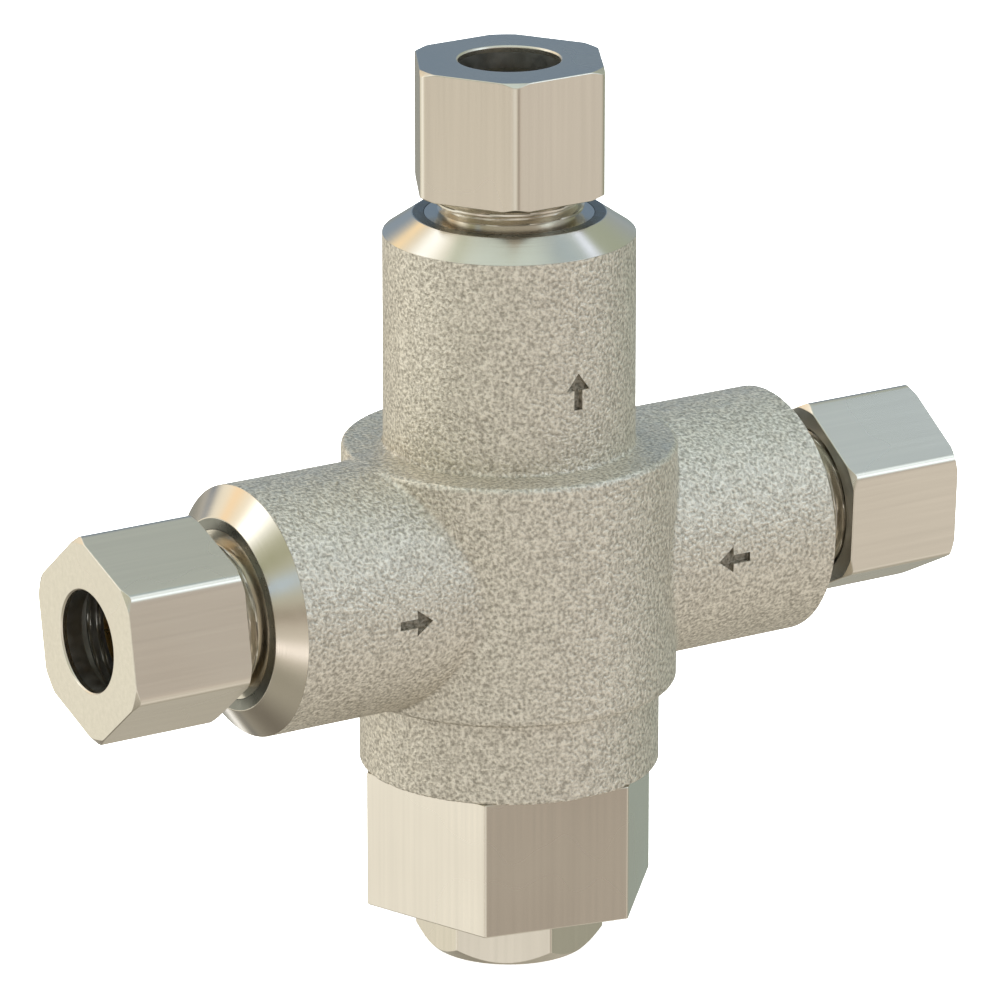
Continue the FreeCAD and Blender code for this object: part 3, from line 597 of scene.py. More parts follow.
def body_casting(material, recess_shade_material):
    """Blasted casting with its bores and the three flow arrows."""
    bm = casting_skin()
    starts = {port: RIM_REACHES[port] - RIM_CHAMFER_LENGTH for port in RIM_REACHES}
    trimmed(bm, (-starts["hot"], 0, 0), (-1, 0, 0))
    trimmed(bm, (starts["cold"], 0, 0), (1, 0, 0))
    trimmed(bm, (0, 0, starts["outlet"]), (0, 0, 1))
    bmesh.ops.recalc_face_normals(bm, faces=bm.faces)
    outlet_shoulder = RIM_REACHES["outlet"] - SHANK_LENGTH
    cutters = [lathe_solid([
        (0, RING_BOTTOM - CUT_OVERRUN),
        (MAIN_BORE, RING_BOTTOM - CUT_OVERRUN),
        (MAIN_BORE, -GUIDE_HALF_LENGTH),
        (GUIDE_BORE, -GUIDE_HALF_LENGTH),
        (GUIDE_BORE, GUIDE_HALF_LENGTH),
        (MAIN_BORE, GUIDE_HALF_LENGTH),
        (MAIN_BORE, HOT_SEAT_HEIGHT),
        (MIXING_BORE, HOT_SEAT_HEIGHT),
        (MIXING_BORE, outlet_shoulder),
        (SHANK_BORE, outlet_shoulder),
        (SHANK_BORE, RIM_REACHES["outlet"] + CUT_OVERRUN),
        (0, RIM_REACHES["outlet"] + CUT_OVERRUN),
    ])]
    for port, side in (("hot", -1), ("cold", 1)):
        shoulder = RIM_REACHES[port] - SHANK_LENGTH
        turn = Matrix.Rotation(math.radians(90 * side), 4, "Y")
        bore = lathe_solid([
            (0, CHECK_CHAMBER_BOTTOM),
            (CHECK_CHAMBER_RADIUS, CHECK_CHAMBER_BOTTOM),
            (CHECK_CHAMBER_RADIUS, shoulder),
            (SHANK_BORE, shoulder),
            (SHANK_BORE, RIM_REACHES[port] + CUT_OVERRUN),
            (0, RIM_REACHES[port] + CUT_OVERRUN),
        ])
        feed = lathe_solid([
            (0, FEED_START),
            (FEED_RADIUS, FEED_START),
            (FEED_RADIUS, CHECK_CHAMBER_BOTTOM + CUT_OVERRUN),
            (0, CHECK_CHAMBER_BOTTOM + CUT_OVERRUN),
        ], FEED_COLUMNS)
        cutters.append(laid(bore, turn))
        cutters.append(laid(feed, Matrix.Translation((0, 0, -side * FEED_OFFSET)) @ turn))
    cutters.append(arrow_cutter(Vector((0, 0, OUTLET_ARROW_HEIGHT)), Vector((0, 0, 1))))
    cutters.append(arrow_cutter(Vector((-INLET_ARROW_REACH, 0, 0)), Vector((1, 0, 0))))
    cutters.append(arrow_cutter(Vector((INLET_ARROW_REACH, 0, 0)), Vector((-1, 0, 0))))
    bm = cut_away(bm, cutters)
    # Faces at the arrows' depth take the second material: painted shade that darkens the recesses.
    deepest, shallowest = RECESS_DISTANCE
    for face in bm.faces:
        if deepest < casting_distance(*face.calc_center_median()) < shallowest:
            face.material_index = 1
    return add_object(
        "body_casting", bm, "body", (material, recess_shade_material),
        sharp_angle=38, normals=casting_normals(bm),
    )


def machined_end(port, materials):
    """Turned cone and flat face at the end of an arm or of the neck."""
    rim = RIM_REACHES[port]
    start = rim - RIM_CHAMFER_LENGTH
    outline = [(SHANK_BORE, start), (ARM_RADIUS, start), (RIM_RADIUS, rim), (SHANK_BORE, rim)]
    rings = softened(outline, RIM_ROUNDING)
    # The flat end face and the bore beside it take the second material, painted dark as the shade under
    # the nut.
    bm = ring_solid(rings, round_angles(), inside_from=len(rings) - 2)
    return add_object(port + "_machined_end", bm, "body", materials, port)


# ---- the fittings


def compression_nut(port, materials):
    """Hexagon nut with a tube hole, a ferrule seat and a cut thread."""
    face = REACHES[port]
    bottom = face - NUT_LENGTH
    start = RIM_REACHES[port] + STUB_THREAD_START
    corner = NUT_CORNERS[port]
    angles = hexagon_angles(NUT_ACROSS_FLATS, corner, NUT_CORNER_ROUNDING)
    side = hexagon_radius(angles, NUT_ACROSS_FLATS, corner, NUT_CORNER_ROUNDING)
    rings = hexagon_rings(side, bottom, face, NUT_CHAMFER_CIRCLE, NUT_CHAMFER_CIRCLE, NUT_SLOPE)
    rings += softened([
        (TUBE_HOLE_RADIUS + HOLE_MARGIN, face),
        (TUBE_HOLE_RADIUS + HOLE_CHAMFER, face),
        (TUBE_HOLE_RADIUS, face - HOLE_CHAMFER),
        (TUBE_HOLE_RADIUS, face - HOLE_MARGIN),
    ], HOLE_ROUNDING)
    # From here inward the bands take the darker bore material, partly painted shade of the hollow.
    inside_from = len(rings) - 1
    rings += [
        (TUBE_HOLE_RADIUS, face - NUT_LAND),
        (NUT_SEAT_RADIUS, face - NUT_SEAT_END),
        (THREAD_MAJOR + THREAD_CLEARANCE, face - NUT_SEAT_END),
        (THREAD_MAJOR + THREAD_CLEARANCE, face - NUT_RELIEF_END),
    ]
    top = face - NUT_RELIEF_END - HAIR_GAP
    rows = int((top - bottom) / THREAD_PITCH * THREAD_ROWS_PER_TURN)
    for height in np.linspace(top, bottom, rows + 1):
        radius = thread_radius(angles, height, start, THREAD_PITCH, THREAD_MINOR, THREAD_MAJOR)
        mouth = THREAD_MAJOR + NUT_MOUTH_DEPTH - (height - bottom)
        relief = THREAD_MAJOR - RELIEF_SLOPE * (top - height)
        rings.append((np.maximum(radius, max(mouth, relief)) + THREAD_CLEARANCE, height))
    bm = ring_solid(rings, angles, inside_from)
    piece = add_object(port + "_hex_nut", bm, port + "_nut", materials, port)
    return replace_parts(piece, port + "_nut")


def tube_connector(port, materials):
    """Screwed-in end with a cut thread, a relief groove, a mouth cone and a tube stop."""
    rim = RIM_REACHES[port]
    angles = round_angles()
    flow = FLOW_RADII[port]
    thread_start = rim + STUB_THREAD_START
    rings = [
        (SHANK_RADIUS, rim - SHANK_LENGTH),
        (SHANK_RADIUS, rim + SHANK_GROOVE[0]),
        (SHANK_GROOVE_RADIUS, rim + SHANK_GROOVE[0]),
        (SHANK_GROOVE_RADIUS, rim + SHANK_GROOVE[1]),
        (SHANK_RADIUS, rim + SHANK_GROOVE[1]),
        (SHANK_RADIUS, rim - HAIR_GAP),
        (STUB_RELIEF_RADIUS, rim - HAIR_GAP),
        (STUB_RELIEF_RADIUS, rim + STUB_RELIEF_END),
    ]
    rings += thread_rings(
        angles, thread_start, rim + STUB_LENGTH - STUB_TIP_LENGTH, thread_start,
        THREAD_PITCH, THREAD_MINOR, THREAD_MAJOR,
    )
    # From the mouth inward the bands take the darker bore material, partly painted shade of the hollow.
    inside_from = len(rings) + 1
    rings += [
        (THREAD_MINOR - STUB_TIP_DROP, rim + STUB_LENGTH),
        (MOUTH_RADIUS, rim + STUB_LENGTH),
        (TUBE_HOLE_RADIUS, rim + MOUTH_CONE_BOTTOM),
        (TUBE_HOLE_RADIUS, rim + TUBE_STOP),
        (flow, rim + TUBE_STOP),
    ]
    if port == "outlet":
        rings.append((flow, rim - SHANK_LENGTH))
    else:
        rings += [
            (flow, rim + STRAINER_POCKET_TOP),
            (STRAINER_POCKET_RADIUS, rim + STRAINER_POCKET_TOP),
            (STRAINER_POCKET_RADIUS, rim - SHANK_LENGTH),
        ]
    bm = ring_solid(rings, angles, inside_from)
    piece = add_object(port + "_threaded_end", bm, "body", materials, port)
    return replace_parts(piece, port + "_connector")


def bonnet_plug(materials):
    """Large hexagon with its spigot, its spindle bore and the threaded boss for the cap."""
    angles = hexagon_angles(BONNET_ACROSS_FLATS, BONNET_CORNER, BONNET_CORNER_ROUNDING)
    side = hexagon_radius(angles, BONNET_ACROSS_FLATS, BONNET_CORNER, BONNET_CORNER_ROUNDING)
    rings = thread_rings(
        angles, BONNET_BORE_BOTTOM + BOSS_TIP_LENGTH, BONNET_BOTTOM - HAIR_GAP, 0,
        BOSS_PITCH, BOSS_MINOR, BOSS_MAJOR,
    )
    rings += hexagon_rings(side, BONNET_BOTTOM, BONNET_TOP, NO_TURNING, NO_TURNING, 1)
    rings += [
        (SPIGOT_RADIUS, BONNET_TOP),
        (SPIGOT_RADIUS, SPIGOT_GROOVE[0]),
        (SPIGOT_GROOVE_RADIUS, SPIGOT_GROOVE[0]),
        (SPIGOT_GROOVE_RADIUS, SPIGOT_GROOVE[1]),
        (SPIGOT_RADIUS, SPIGOT_GROOVE[1]),
        (SPIGOT_RADIUS, BONNET_SPIGOT_TOP),
        (SPIGOT_POCKET_RADIUS, BONNET_SPIGOT_TOP),
        (SPIGOT_POCKET_RADIUS, SPIGOT_POCKET_BOTTOM),
        (SPINDLE_BORE, SPIGOT_POCKET_BOTTOM),
        (SPINDLE_BORE, STOP_GROOVE[1]),
        (STOP_GROOVE_RADIUS, STOP_GROOVE[1]),
        (STOP_GROOVE_RADIUS, STOP_GROOVE[0]),
        (SPINDLE_BORE, STOP_GROOVE[0]),
        (SPINDLE_BORE, SPINDLE_STEP),
        (SPINDLE_SEAL_BORE, SPINDLE_STEP),
        (SPINDLE_SEAL_BORE, BONNET_BORE_BOTTOM),
        (BOSS_MINOR - BOSS_TIP_DROP, BONNET_BORE_BOTTOM),
    ]
    bm = ring_solid(rings, angles)
    piece = add_object("bonnet_plug", bm, "body", materials)
    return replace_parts(piece, "bonnet")


def locking_cap(materials):
    """Small hexagon cap with a flat base and a cut thread inside."""
    angles = hexagon_angles(CAP_ACROSS_FLATS, CAP_CORNER, CAP_CORNER_ROUNDING)
    side = hexagon_radius(angles, CAP_ACROSS_FLATS, CAP_CORNER, CAP_CORNER_ROUNDING)
    rings = hexagon_rings(side, CAP_BOTTOM, CAP_TOP, CAP_CHAMFER_CIRCLE, NO_TURNING, CAP_SLOPE)
    low = CAP_FLOOR + CAP_RELIEF_LENGTH
    rows = int((CAP_TOP - low) / BOSS_PITCH * THREAD_ROWS_PER_TURN)
    for height in np.linspace(CAP_TOP, low, rows + 1):
        radius = thread_radius(angles, height, 0, BOSS_PITCH, BOSS_MINOR, BOSS_MAJOR)
        mouth = BOSS_MAJOR + CAP_MOUTH_DEPTH - (CAP_TOP - height)
        relief = BOSS_MAJOR - RELIEF_SLOPE * (height - low)
        rings.append((np.maximum(radius, max(mouth, relief)) + CAP_CLEARANCE, height))
    rings += [
        (BOSS_MAJOR + CAP_CLEARANCE, CAP_FLOOR),
        (AXIS_RADIUS, CAP_FLOOR),
        (AXIS_RADIUS, CAP_BOTTOM),
    ]
    bm = ring_solid(rings, angles)
    piece = add_object("locking_cap", bm, "cap", materials)
    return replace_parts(piece, "cap")


# ---- materials

PLATE_COLOUR = (0.7, 0.65, 0.56)
GRAIN_SCALE = 3000
SPARKLE_SCALE = 2.1 * GRAIN_SCALE
PATCH_SCALE = 900


def new_material(name, colour, roughness, metallic=1.0):
    """Material with a Principled shader; returns it with its node tree and shader."""
    material = bpy.data.materials.new(name)
    material.use_nodes = True
    tree = material.node_tree
    shader = tree.nodes["Principled BSDF"]
    shader.inputs["Base Color"].default_value = (*colour, 1)
    shader.inputs["Metallic"].default_value = metallic
    shader.inputs["Roughness"].default_value = roughness
    return material, tree, shader


def noise(tree, scale, detail=2.0, stretch=(1, 1, 1)):
    """Noise between 0 and 1, with about scale times stretch lumps per metre along each axis."""
    place = tree.nodes.new("ShaderNodeTexCoord")
    mapping = tree.nodes.new("ShaderNodeMapping")
    mapping.inputs["Scale"].default_value = stretch
    tree.links.new(place.outputs["Object"], mapping.inputs["Vector"])
    texture = tree.nodes.new("ShaderNodeTexNoise")
    texture.inputs["Scale"].default_value = scale
    texture.inputs["Detail"].default_value = detail
    tree.links.new(mapping.outputs["Vector"], texture.inputs["Vector"])
    return texture.outputs["Fac"]


def spread(tree, value, low, high):
    """Noise, which mostly lies from 0.3 to 0.7, spread over the range from low to high."""
    node = tree.nodes.new("ShaderNodeMapRange")
    node.inputs["From Min"].default_value = 0.3
    node.inputs["From Max"].default_value = 0.7
    node.inputs["To Min"].default_value = low
    node.inputs["To Max"].default_value = high
    tree.links.new(value, node.inputs["Value"])
    return node.outputs["Result"]


def tinted(tree, value, first, second, low=0.3, high=0.7):
    """Colour that runs from one to another as a value goes from low to high."""
    ramp = tree.nodes.new("ShaderNodeValToRGB")
    ramp.color_ramp.elements[0].position = low
    ramp.color_ramp.elements[0].color = (*first, 1)
    ramp.color_ramp.elements[1].position = high
    ramp.color_ramp.elements[1].color = (*second, 1)
    tree.links.new(value, ramp.inputs["Fac"])
    return ramp.outputs["Color"]


def bump(tree, height, depth, strength=1.0, below=None):
    """Normal from a height between 0 and 1 that stands for a depth in metres."""
    node = tree.nodes.new("ShaderNodeBump")
    node.inputs["Distance"].default_value = depth
    node.inputs["Strength"].default_value = strength
    tree.links.new(height, node.inputs["Height"])
    if below:
        tree.links.new(below, node.inputs["Normal"])
    return node.outputs["Normal"]


def blasted_nickel(name, light, dark):
    """Bead-blasted nickel plate: pale high spots over darker hollows, with a fine sparkle."""
    material, tree, shader = new_material(name, light, 0.35)
    lumps = noise(tree, GRAIN_SCALE, detail=1.5)
    sparkle = noise(tree, SPARKLE_SCALE, detail=1)
    patches = noise(tree, PATCH_SCALE, detail=1)
    lumpy = bump(tree, lumps, depth=0.00019)
    normal = bump(tree, sparkle, depth=0.00006, strength=0.8, below=lumpy)
    tree.links.new(normal, shader.inputs["Normal"])
    tree.links.new(tinted(tree, lumps, dark, light, high=0.66), shader.inputs["Base Color"])
    tree.links.new(spread(tree, patches, 0.46, 0.58), shader.inputs["Roughness"])
    return material


def drawn_nickel(name, colour, roughness):
    """Plated hexagon bar with faint streaks along its length."""
    material, tree, shader = new_material(name, colour, roughness)
    streaks = noise(tree, 1, detail=3, stretch=(1900, 1900, 40))
    patches = noise(tree, 60)
    tree.links.new(bump(tree, streaks, depth=0.000006, strength=0.4), shader.inputs["Normal"])
    pale = tuple(channel * 1.03 for channel in colour)
    dull = tuple(channel * 0.97 for channel in colour)
    tree.links.new(tinted(tree, streaks, dull, pale), shader.inputs["Base Color"])
    uneven = spread(tree, patches, roughness - 0.03, roughness + 0.04)
    tree.links.new(uneven, shader.inputs["Roughness"])
    return material


def turned_nickel():
    """Plated turned surface with fine rings round the axis."""
    material, tree, shader = new_material("turned_nickel", PLATE_COLOUR, 0.15)
    place = tree.nodes.new("ShaderNodeTexCoord")
    flat = tree.nodes.new("ShaderNodeVectorMath")
    flat.operation = "MULTIPLY"
    flat.inputs[1].default_value = (1, 1, 0)
    tree.links.new(place.outputs["Object"], flat.inputs[0])
    radius = tree.nodes.new("ShaderNodeVectorMath")
    radius.operation = "LENGTH"
    tree.links.new(flat.outputs["Vector"], radius.inputs[0])
    rings = tree.nodes.new("ShaderNodeTexNoise")
    rings.noise_dimensions = "1D"
    rings.inputs["Scale"].default_value = 5200
    rings.inputs["Detail"].default_value = 2
    tree.links.new(radius.outputs["Value"], rings.inputs["W"])
    ringed = bump(tree, rings.outputs["Fac"], depth=0.000008, strength=0.6)
    tree.links.new(ringed, shader.inputs["Normal"])
    tangent = tree.nodes.new("ShaderNodeTangent")
    tangent.direction_type = "RADIAL"
    tangent.axis = "Z"
    tree.links.new(tangent.outputs["Tangent"], shader.inputs["Tangent"])
    shader.inputs["Anisotropic"].default_value = 0.9
    shader.inputs["Anisotropic Rotation"].default_value = 0.25
    tree.links.new(spread(tree, noise(tree, 260), 0.15, 0.21), shader.inputs["Roughness"])
    return material


def plain_metal(name, colour, roughness):
    """Hidden or small metal piece with a slightly uneven finish."""
    material, tree, shader = new_material(name, colour, roughness)
    grain = noise(tree, 900, detail=3)
    uneven = spread(tree, grain, roughness - 0.06, roughness + 0.08)
    tree.links.new(bump(tree, grain, depth=0.00001, strength=0.5), shader.inputs["Normal"])
    tree.links.new(uneven, shader.inputs["Roughness"])
    return material


def moulded(name, colour, roughness):
    """Rubber, fibre or plastic with a fine moulded grain."""
    material, tree, shader = new_material(name, colour, roughness, metallic=0.0)
    grain = noise(tree, 3500, detail=3)
    uneven = spread(tree, grain, roughness - 0.05, roughness + 0.08)
    tree.links.new(bump(tree, grain, depth=0.00002, strength=0.4), shader.inputs["Normal"])
    tree.links.new(uneven, shader.inputs["Roughness"])
    return material


# ---- springs

# Each spring's mean radius, wire radius and turns, then its ends.
RETURN_WIRE = (5.05, 0.45, 8)
RETURN_SPAN = (2.62, RIM_REACHES["outlet"] - SHANK_LENGTH - HAIR_GAP)
OVERTRAVEL_WIRE = (2.9, 0.4, 4)
OVERTRAVEL_SPAN = (-25.18, -20.02)
CHECK_WIRE = (2.4, 0.15, 3.5)
CHECK_SPAN = (17.62, 20.68)
COIL_STEPS = 28
WIRE_SIDES = 10
WIRE_SHARP_ANGLE = 50


def coil(name, node, wire, span, port, body, material):
    """Round-wire spring that fills a span of heights, in place of its CAD node."""
    mean_radius, wire_radius, turns = wire
    low, high = span
    steps = int(turns * COIL_STEPS)
    bm = bmesh.new()
    rows = []
    rise = (high - low - 2 * wire_radius) / (2 * math.pi * turns)
    for step in range(steps + 1):
        angle = 2 * math.pi * turns * step / steps
        outward = Vector((math.cos(angle), math.sin(angle), 0))
        sideways = Vector((-math.sin(angle), math.cos(angle), 0))
        climb = Vector((0, 0, rise))
        centre = outward * mean_radius + climb * angle + Vector((0, 0, low + wire_radius))
        upward = (sideways * mean_radius + climb).normalized().cross(outward)
        ring = []
        for side in range(WIRE_SIDES):
            turn = 2 * math.pi * side / WIRE_SIDES
            offset = outward * math.cos(turn) + upward * math.sin(turn)
            ring.append(bm.verts.new(centre + offset * wire_radius))
        rows.append(ring)
    for first, second in zip(rows, rows[1:]):
        for side in range(WIRE_SIDES):
            beside = (side + 1) % WIRE_SIDES
            bm.faces.new((first[side], first[beside], second[beside], second[side]))
    bm.faces.new(rows[0])
    bm.faces.new(rows[-1])
    piece = add_object(name, bm, body, (material,), port, WIRE_SHARP_ANGLE)
    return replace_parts(piece, node)


def squeeze(piece):
    """Give a spring its own copy of its mesh."""
    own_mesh(piece)


# ---- the whole valve

CAD_SHARP_ANGLE = 30


def give(nodes, material):
    """Put a material on CAD nodes that keep their own shape."""
    for name in nodes:
        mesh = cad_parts[name].data
        mesh.materials.clear()
        mesh.materials.append(material)
        mesh.polygons.foreach_set("use_smooth", [True] * len(mesh.polygons))
        mesh.set_sharp_from_angle(angle=math.radians(CAD_SHARP_ANGLE))


blasted = blasted_nickel("blasted_nickel", (0.89, 0.84, 0.74), (0.44, 0.405, 0.345))
# Darker copy of the blasted plate for the arrows' recesses: painted shade, not a finish of its own.
recess_painted_shade = blasted_nickel("arrow_recess_painted_shade", (0.34, 0.31, 0.26), (0.16, 0.15, 0.12))
turned = turned_nickel()
drawn = drawn_nickel("drawn_nickel", PLATE_COLOUR, 0.26)
# Greyer and darker than the plating outside: partly a duller finish in the bores, partly painted shade
# of the hollows.
bore_metal_and_shade = plain_metal("bore_metal_and_shade", (0.5, 0.5, 0.48), 0.35)
# Dark grey for the flat faces at the rims: painted shade under the nuts, not a finish of its own.
rim_painted_shade = plain_metal("rim_painted_shade", (0.24, 0.24, 0.21), 0.3)
brass = plain_metal("bare_brass", (0.72, 0.53, 0.25), 0.3)
copper = plain_metal("copper_alloy", (0.72, 0.42, 0.28), 0.3)
steel = plain_metal("stainless", (0.6, 0.6, 0.58), 0.28)
rubber = moulded("rubber", (0.02, 0.02, 0.02), 0.55)
fibre = moulded("fibre_gasket", (0.1, 0.07, 0.05), 0.8)
plastic = moulded("white_plastic", (0.8, 0.8, 0.76), 0.45)

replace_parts(body_casting(blasted, recess_painted_shade), "valve_body")
for port in REACHES:
    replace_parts(machined_end(port, (turned, rim_painted_shade)), "valve_body")
    tube_connector(port, (turned, bore_metal_and_shade))
    compression_nut(port, (drawn, bore_metal_and_shade))
bonnet_plug((drawn,))
locking_cap((drawn,))

give(["hot_ferrule", "cold_ferrule", "outlet_ferrule", "shuttle", "spindle", "plunger"], brass)
give(["thermostat_element"], copper)
give(["thermostat_piston", "spindle_stop_ring", "plunger_clip", "hot_strainer", "cold_strainer"], steel)
give(["bonnet_o_ring", "shuttle_o_ring", "spindle_o_rings"], rubber)
give(["cap_gasket"], fibre)
for port in REACHES:
    give([port + "_connector_o_ring"], rubber)
for port in ("hot", "cold"):
    give([port + "_check_o_ring", port + "_check_seal"], rubber)
    give([port + "_check_housing", port + "_check_poppet"], plastic)

return_coil = coil("return_coil", "return_spring", RETURN_WIRE, RETURN_SPAN, "outlet", "body", steel)
squeeze(return_coil)
overtravel_coil = coil(
    "overtravel_coil", "overtravel_spring", OVERTRAVEL_WIRE, OVERTRAVEL_SPAN, "outlet", "spindle", steel
)
squeeze(overtravel_coil)
for port, side in (("hot", -1), ("cold", 1)):
    check_coil = coil(
        port + "_check_coil", port + "_check_spring", CHECK_WIRE, CHECK_SPAN, port, "body", steel
    )
    squeeze(check_coil)

# ---- floor, light and surroundings

# The floor's radius in metres, and how wide the sun looks in degrees.
FLOOR_RADIUS = 3.0
SUN_ANGLE = 150
FLOOR_SEGMENTS = 96
FLOOR_GLOW = 0.5
SUN_ENERGY = 6.0
WHITE = (1, 1, 1)

# Surroundings seen in the metal: colour by azimuth, anticlockwise from +X, in two bands.
BELOW_HORIZON = (
    (-180, (0.80, 0.75, 0.66)),
    (-165, (0.76, 0.71, 0.64)),
    (-150, (0.92, 0.90, 0.85)),
    (-128, (1.04, 1.02, 0.98)),
    (-108, (0.92, 0.88, 0.82)),
    (-92, (0.49, 0.44, 0.39)),
    (-76, (0.45, 0.40, 0.35)),
    (-64, (0.80, 0.73, 0.67)),
    (-50, (0.88, 0.84, 0.79)),
    (-34, (0.62, 0.60, 0.54)),
    (-20, (0.42, 0.42, 0.35)),
    (0, (0.42, 0.44, 0.37)),
    (40, (0.38, 0.44, 0.40)),
    (60, (0.34, 0.36, 0.33)),
    (84, (0.34, 0.34, 0.31)),
    (98, (0.66, 0.62, 0.54)),
    (110, (1.16, 1.12, 0.98)),
    (124, (1.10, 1.10, 1.00)),
    (150, (1.30, 1.30, 1.25)),
    (162, (1.30, 1.28, 1.21)),
    (171, (0.94, 0.90, 0.82)),
    (180, (0.80, 0.75, 0.66)),
)
ABOVE_HORIZON = (
    (-180, (0.64, 0.66, 0.56)),
    (-140, (0.68, 0.68, 0.62)),
    (-70, (0.66, 0.64, 0.60)),
    (-20, (0.60, 0.66, 0.70)),
    (20, (0.47, 0.54, 0.42)),
    (42, (0.56, 0.60, 0.58)),
    (60, (0.34, 0.42, 0.50)),
    (80, (0.40, 0.48, 0.58)),
    (92, (1.00, 0.90, 0.72)),
    (104, (1.20, 1.14, 1.00)),
    (122, (1.26, 1.14, 0.94)),
    (154, (1.24, 1.28, 1.24)),
    (164, (0.68, 0.70, 0.56)),
    (180, (0.64, 0.66, 0.56)),
)
OVERHEAD = (0.84, 0.98, 0.98)
UNDERNEATH = (0.50, 0.48, 0.41)
# Sines of the elevations between which one band gives way to the next.
HORIZON_BLEND = (-0.12, 0.12)
OVERHEAD_BLEND = (0.75, 1.0)
UNDERNEATH_BLEND = (-0.45, -0.62)

# Cards round the valve: azimuth, elevation, half width in degrees, and colour
CARDS = (
    (-60, 1, 9, (0.52, 0.46, 0.41)),
    (-52, 27, 13, (2.05, 2.45, 2.80)),
    (-30, 50, 10, (1.80, 2.10, 2.40)),
    (-36, -46, 18, (1.02, 0.97, 0.91)),
    (-84, -54, 18, (1.04, 1.00, 0.94)),
    (57, 18, 19, (0.20, 0.28, 0.39)),
    (122, -56, 22, (0.22, 0.20, 0.17)),
    (128, 4, 9, (0.62, 0.58, 0.50)),
    (104, 49, 8, (1.80, 1.95, 2.10)),
    (114, 65, 5, (0.60, 0.68, 0.55)),
    (91, 30, 6, (1.50, 1.16, 0.70)),
    (4, 62, 11, (0.38, 0.50, 0.60)),
    (10, 49, 4, (1.70, 1.90, 2.50)),
    (143, 27, 7, (3.10, 3.20, 3.30)),
    (118, 20, 6, (1.40, 1.04, 0.66)),
    (96, 5, 7, (0.18, 0.24, 0.34)),
    (171, 22, 8, (0.42, 0.44, 0.29)),
    (-178, 11, 5, (0.66, 0.92, 1.30)),
    (-171, -4, 6, (0.28, 0.23, 0.17)),
    (-169, -23, 5, (2.00, 1.90, 1.90)),
    (176, -40, 8, (0.40, 0.38, 0.32)),
    (81, -34, 4, (1.80, 1.80, 1.80)),
    (90, -42, 4, (0.20, 0.20, 0.20)),
    (46, -46, 10, (0.61, 0.58, 0.51)),
)


def direction_of(azimuth, elevation):
    """Unit vector towards an azimuth and an elevation in degrees."""
    turn, rise = math.radians(azimuth), math.radians(elevation)
    return Vector((math.cos(turn) * math.cos(rise), math.sin(turn) * math.cos(rise), math.sin(rise)))


def pale_floor():
    """Round matt floor under the cap, wide enough to fill the view."""
    bm = bmesh.new()
    bmesh.ops.create_circle(bm, cap_ends=True, radius=FLOOR_RADIUS, segments=FLOOR_SEGMENTS)
    mesh = bpy.data.meshes.new("floor")
    bm.to_mesh(mesh)
    bm.free()
    floor = bpy.data.objects.new("floor", mesh)
    bpy.context.scene.collection.objects.link(floor)
    floor.visible_glossy = False
    material, _, shader = new_material("floor", (0.9, 0.9, 0.9), 0.9, metallic=0.0)
    shader.inputs["Specular IOR Level"].default_value = 0.0
    shader.inputs["Emission Color"].default_value = (*WHITE, 1)
    shader.inputs["Emission Strength"].default_value = FLOOR_GLOW
    mesh.materials.append(material)


def floor_light():
    """Very soft overhead light that whitens the floor and stays out of the metal."""
    light = bpy.data.lights.new("floor_light", "SUN")
    light.energy = SUN_ENERGY
    light.angle = math.radians(SUN_ANGLE)
    lamp = bpy.data.objects.new("floor_light", light)
    bpy.context.scene.collection.objects.link(lamp)
    lamp.visible_glossy = False


def arithmetic(tree, operation, *values):
    """Result of one math node; each value is a socket or a number."""
    node = tree.nodes.new("ShaderNodeMath")
    node.operation = operation
    for socket, value in zip(node.inputs, values):
        if isinstance(value, (int, float)):
            socket.default_value = value
        else:
            tree.links.new(value, socket)
    return node.outputs["Value"]


def colour_band(tree, azimuth_share, stops):
    """Colour round the horizon from a list of azimuths and colours."""
    ramp = tree.nodes.new("ShaderNodeValToRGB")
    elements = ramp.color_ramp.elements
    while len(elements) > 1:
        elements.remove(elements[0])
    for number, (azimuth, colour) in enumerate(stops):
        position = (azimuth + 180) / 360
        element = elements[0] if number == 0 else elements.new(position)
        element.position = position
        element.color = (*colour, 1)
    tree.links.new(azimuth_share, ramp.inputs["Fac"])
    return ramp.outputs["Color"]


def blended(tree, share, first, second):
    """Mix of two colour sockets by a share between 0 and 1."""
    node = tree.nodes.new("ShaderNodeMixRGB")
    tree.links.new(share, node.inputs["Fac"])
    tree.links.new(first, node.inputs["Color1"])
    tree.links.new(second, node.inputs["Color2"])
    return node.outputs["Color"]


def plain_colour(tree, colour):
    """Socket with one colour."""
    node = tree.nodes.new("ShaderNodeRGB")
    node.outputs["Color"].default_value = (*colour, 1)
    return node.outputs["Color"]


def ramp_between(tree, value, low, high):
    """Smooth step of a value from 0 at low to 1 at high."""
    node = tree.nodes.new("ShaderNodeMapRange")
    node.interpolation_type = "SMOOTHSTEP"
    node.inputs["From Min"].default_value = low
    node.inputs["From Max"].default_value = high
    tree.links.new(value, node.inputs["Value"])
    return node.outputs["Result"]


def with_card(tree, direction, colour_behind, azimuth, elevation, half_width, card_colour):
    """The surroundings with one soft-edged round card hung in front of them."""
    facing = tree.nodes.new("ShaderNodeVectorMath")
    facing.operation = "DOT_PRODUCT"
    facing.inputs[1].default_value = direction_of(azimuth, elevation)
    tree.links.new(direction, facing.inputs[0])
    falloff = 2 / math.radians(half_width) ** 2
    away = arithmetic(tree, "SUBTRACT", facing.outputs["Value"], 1.0)
    share = arithmetic(tree, "EXPONENT", arithmetic(tree, "MULTIPLY", away, falloff))
    return blended(tree, share, colour_behind, plain_colour(tree, card_colour))


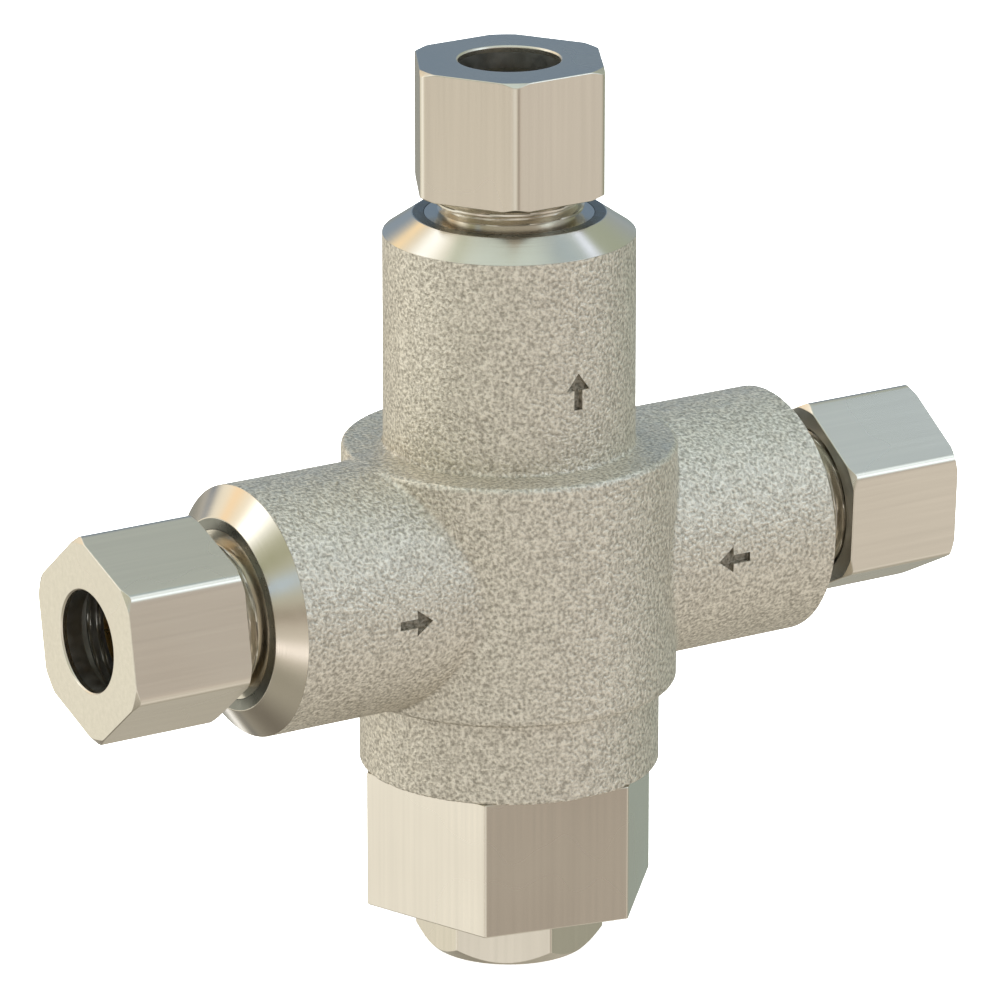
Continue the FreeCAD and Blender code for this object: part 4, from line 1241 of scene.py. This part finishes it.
def studio_world():
    """White backdrop for the camera, and the studio's surroundings for everything else."""
    world = bpy.data.worlds.new("studio")
    bpy.context.scene.world = world
    world.use_nodes = True
    tree = world.node_tree
    direction = tree.nodes.new("ShaderNodeTexCoord").outputs["Generated"]
    split = tree.nodes.new("ShaderNodeSeparateXYZ")
    tree.links.new(direction, split.inputs["Vector"])
    heading = arithmetic(tree, "ARCTAN2", split.outputs["Y"], split.outputs["X"])
    turns = arithmetic(tree, "MULTIPLY", heading, 1 / (2 * math.pi))
    azimuth_share = arithmetic(tree, "ADD", turns, 0.5)
    lower = colour_band(tree, azimuth_share, BELOW_HORIZON)
    upper = colour_band(tree, azimuth_share, ABOVE_HORIZON)
    height = split.outputs["Z"]
    colour = blended(tree, ramp_between(tree, height, *HORIZON_BLEND), lower, upper)
    above = ramp_between(tree, height, *OVERHEAD_BLEND)
    colour = blended(tree, above, colour, plain_colour(tree, OVERHEAD))
    below = ramp_between(tree, height, *UNDERNEATH_BLEND)
    colour = blended(tree, below, colour, plain_colour(tree, UNDERNEATH))
    for card in CARDS:
        colour = with_card(tree, direction, colour, *card)
    seen = tree.nodes.new("ShaderNodeLightPath").outputs["Is Camera Ray"]
    colour = blended(tree, seen, colour, plain_colour(tree, WHITE))
    tree.links.new(colour, tree.nodes["Background"].inputs["Color"])


# ---- camera

CAMERA_AZIMUTH = -122.55
CAMERA_ELEVATION = 17.72
CAMERA_DISTANCE = 748.6
CAMERA_SHIFT = (-0.88, 5.56)
CAMERA_LENS = 280.1
SENSOR_WIDTH = 36
CLIP_START = 0.01


def studio_camera():
    """Long-lens camera at the front left, a little above the valve."""
    back = direction_of(CAMERA_AZIMUTH, CAMERA_ELEVATION)
    right = direction_of(CAMERA_AZIMUTH + 90, 0)
    up = back.cross(right)
    place = back * CAMERA_DISTANCE + right * CAMERA_SHIFT[0] + up * CAMERA_SHIFT[1]
    place += Vector((0, 0, PORT_AXIS_HEIGHT))
    data = bpy.data.cameras.new("camera")
    data.lens = CAMERA_LENS
    data.sensor_width = SENSOR_WIDTH
    data.clip_start = CLIP_START
    camera = bpy.data.objects.new("camera", data)
    bpy.context.scene.collection.objects.link(camera)
    turned_axes = Matrix((right, up, back)).transposed().to_4x4()
    camera.matrix_world = Matrix.Translation(place * MM) @ turned_axes
    bpy.context.scene.camera = camera


pale_floor()
floor_light()
studio_world()
studio_camera()
bpy.context.scene.view_settings.view_transform = "Standard"
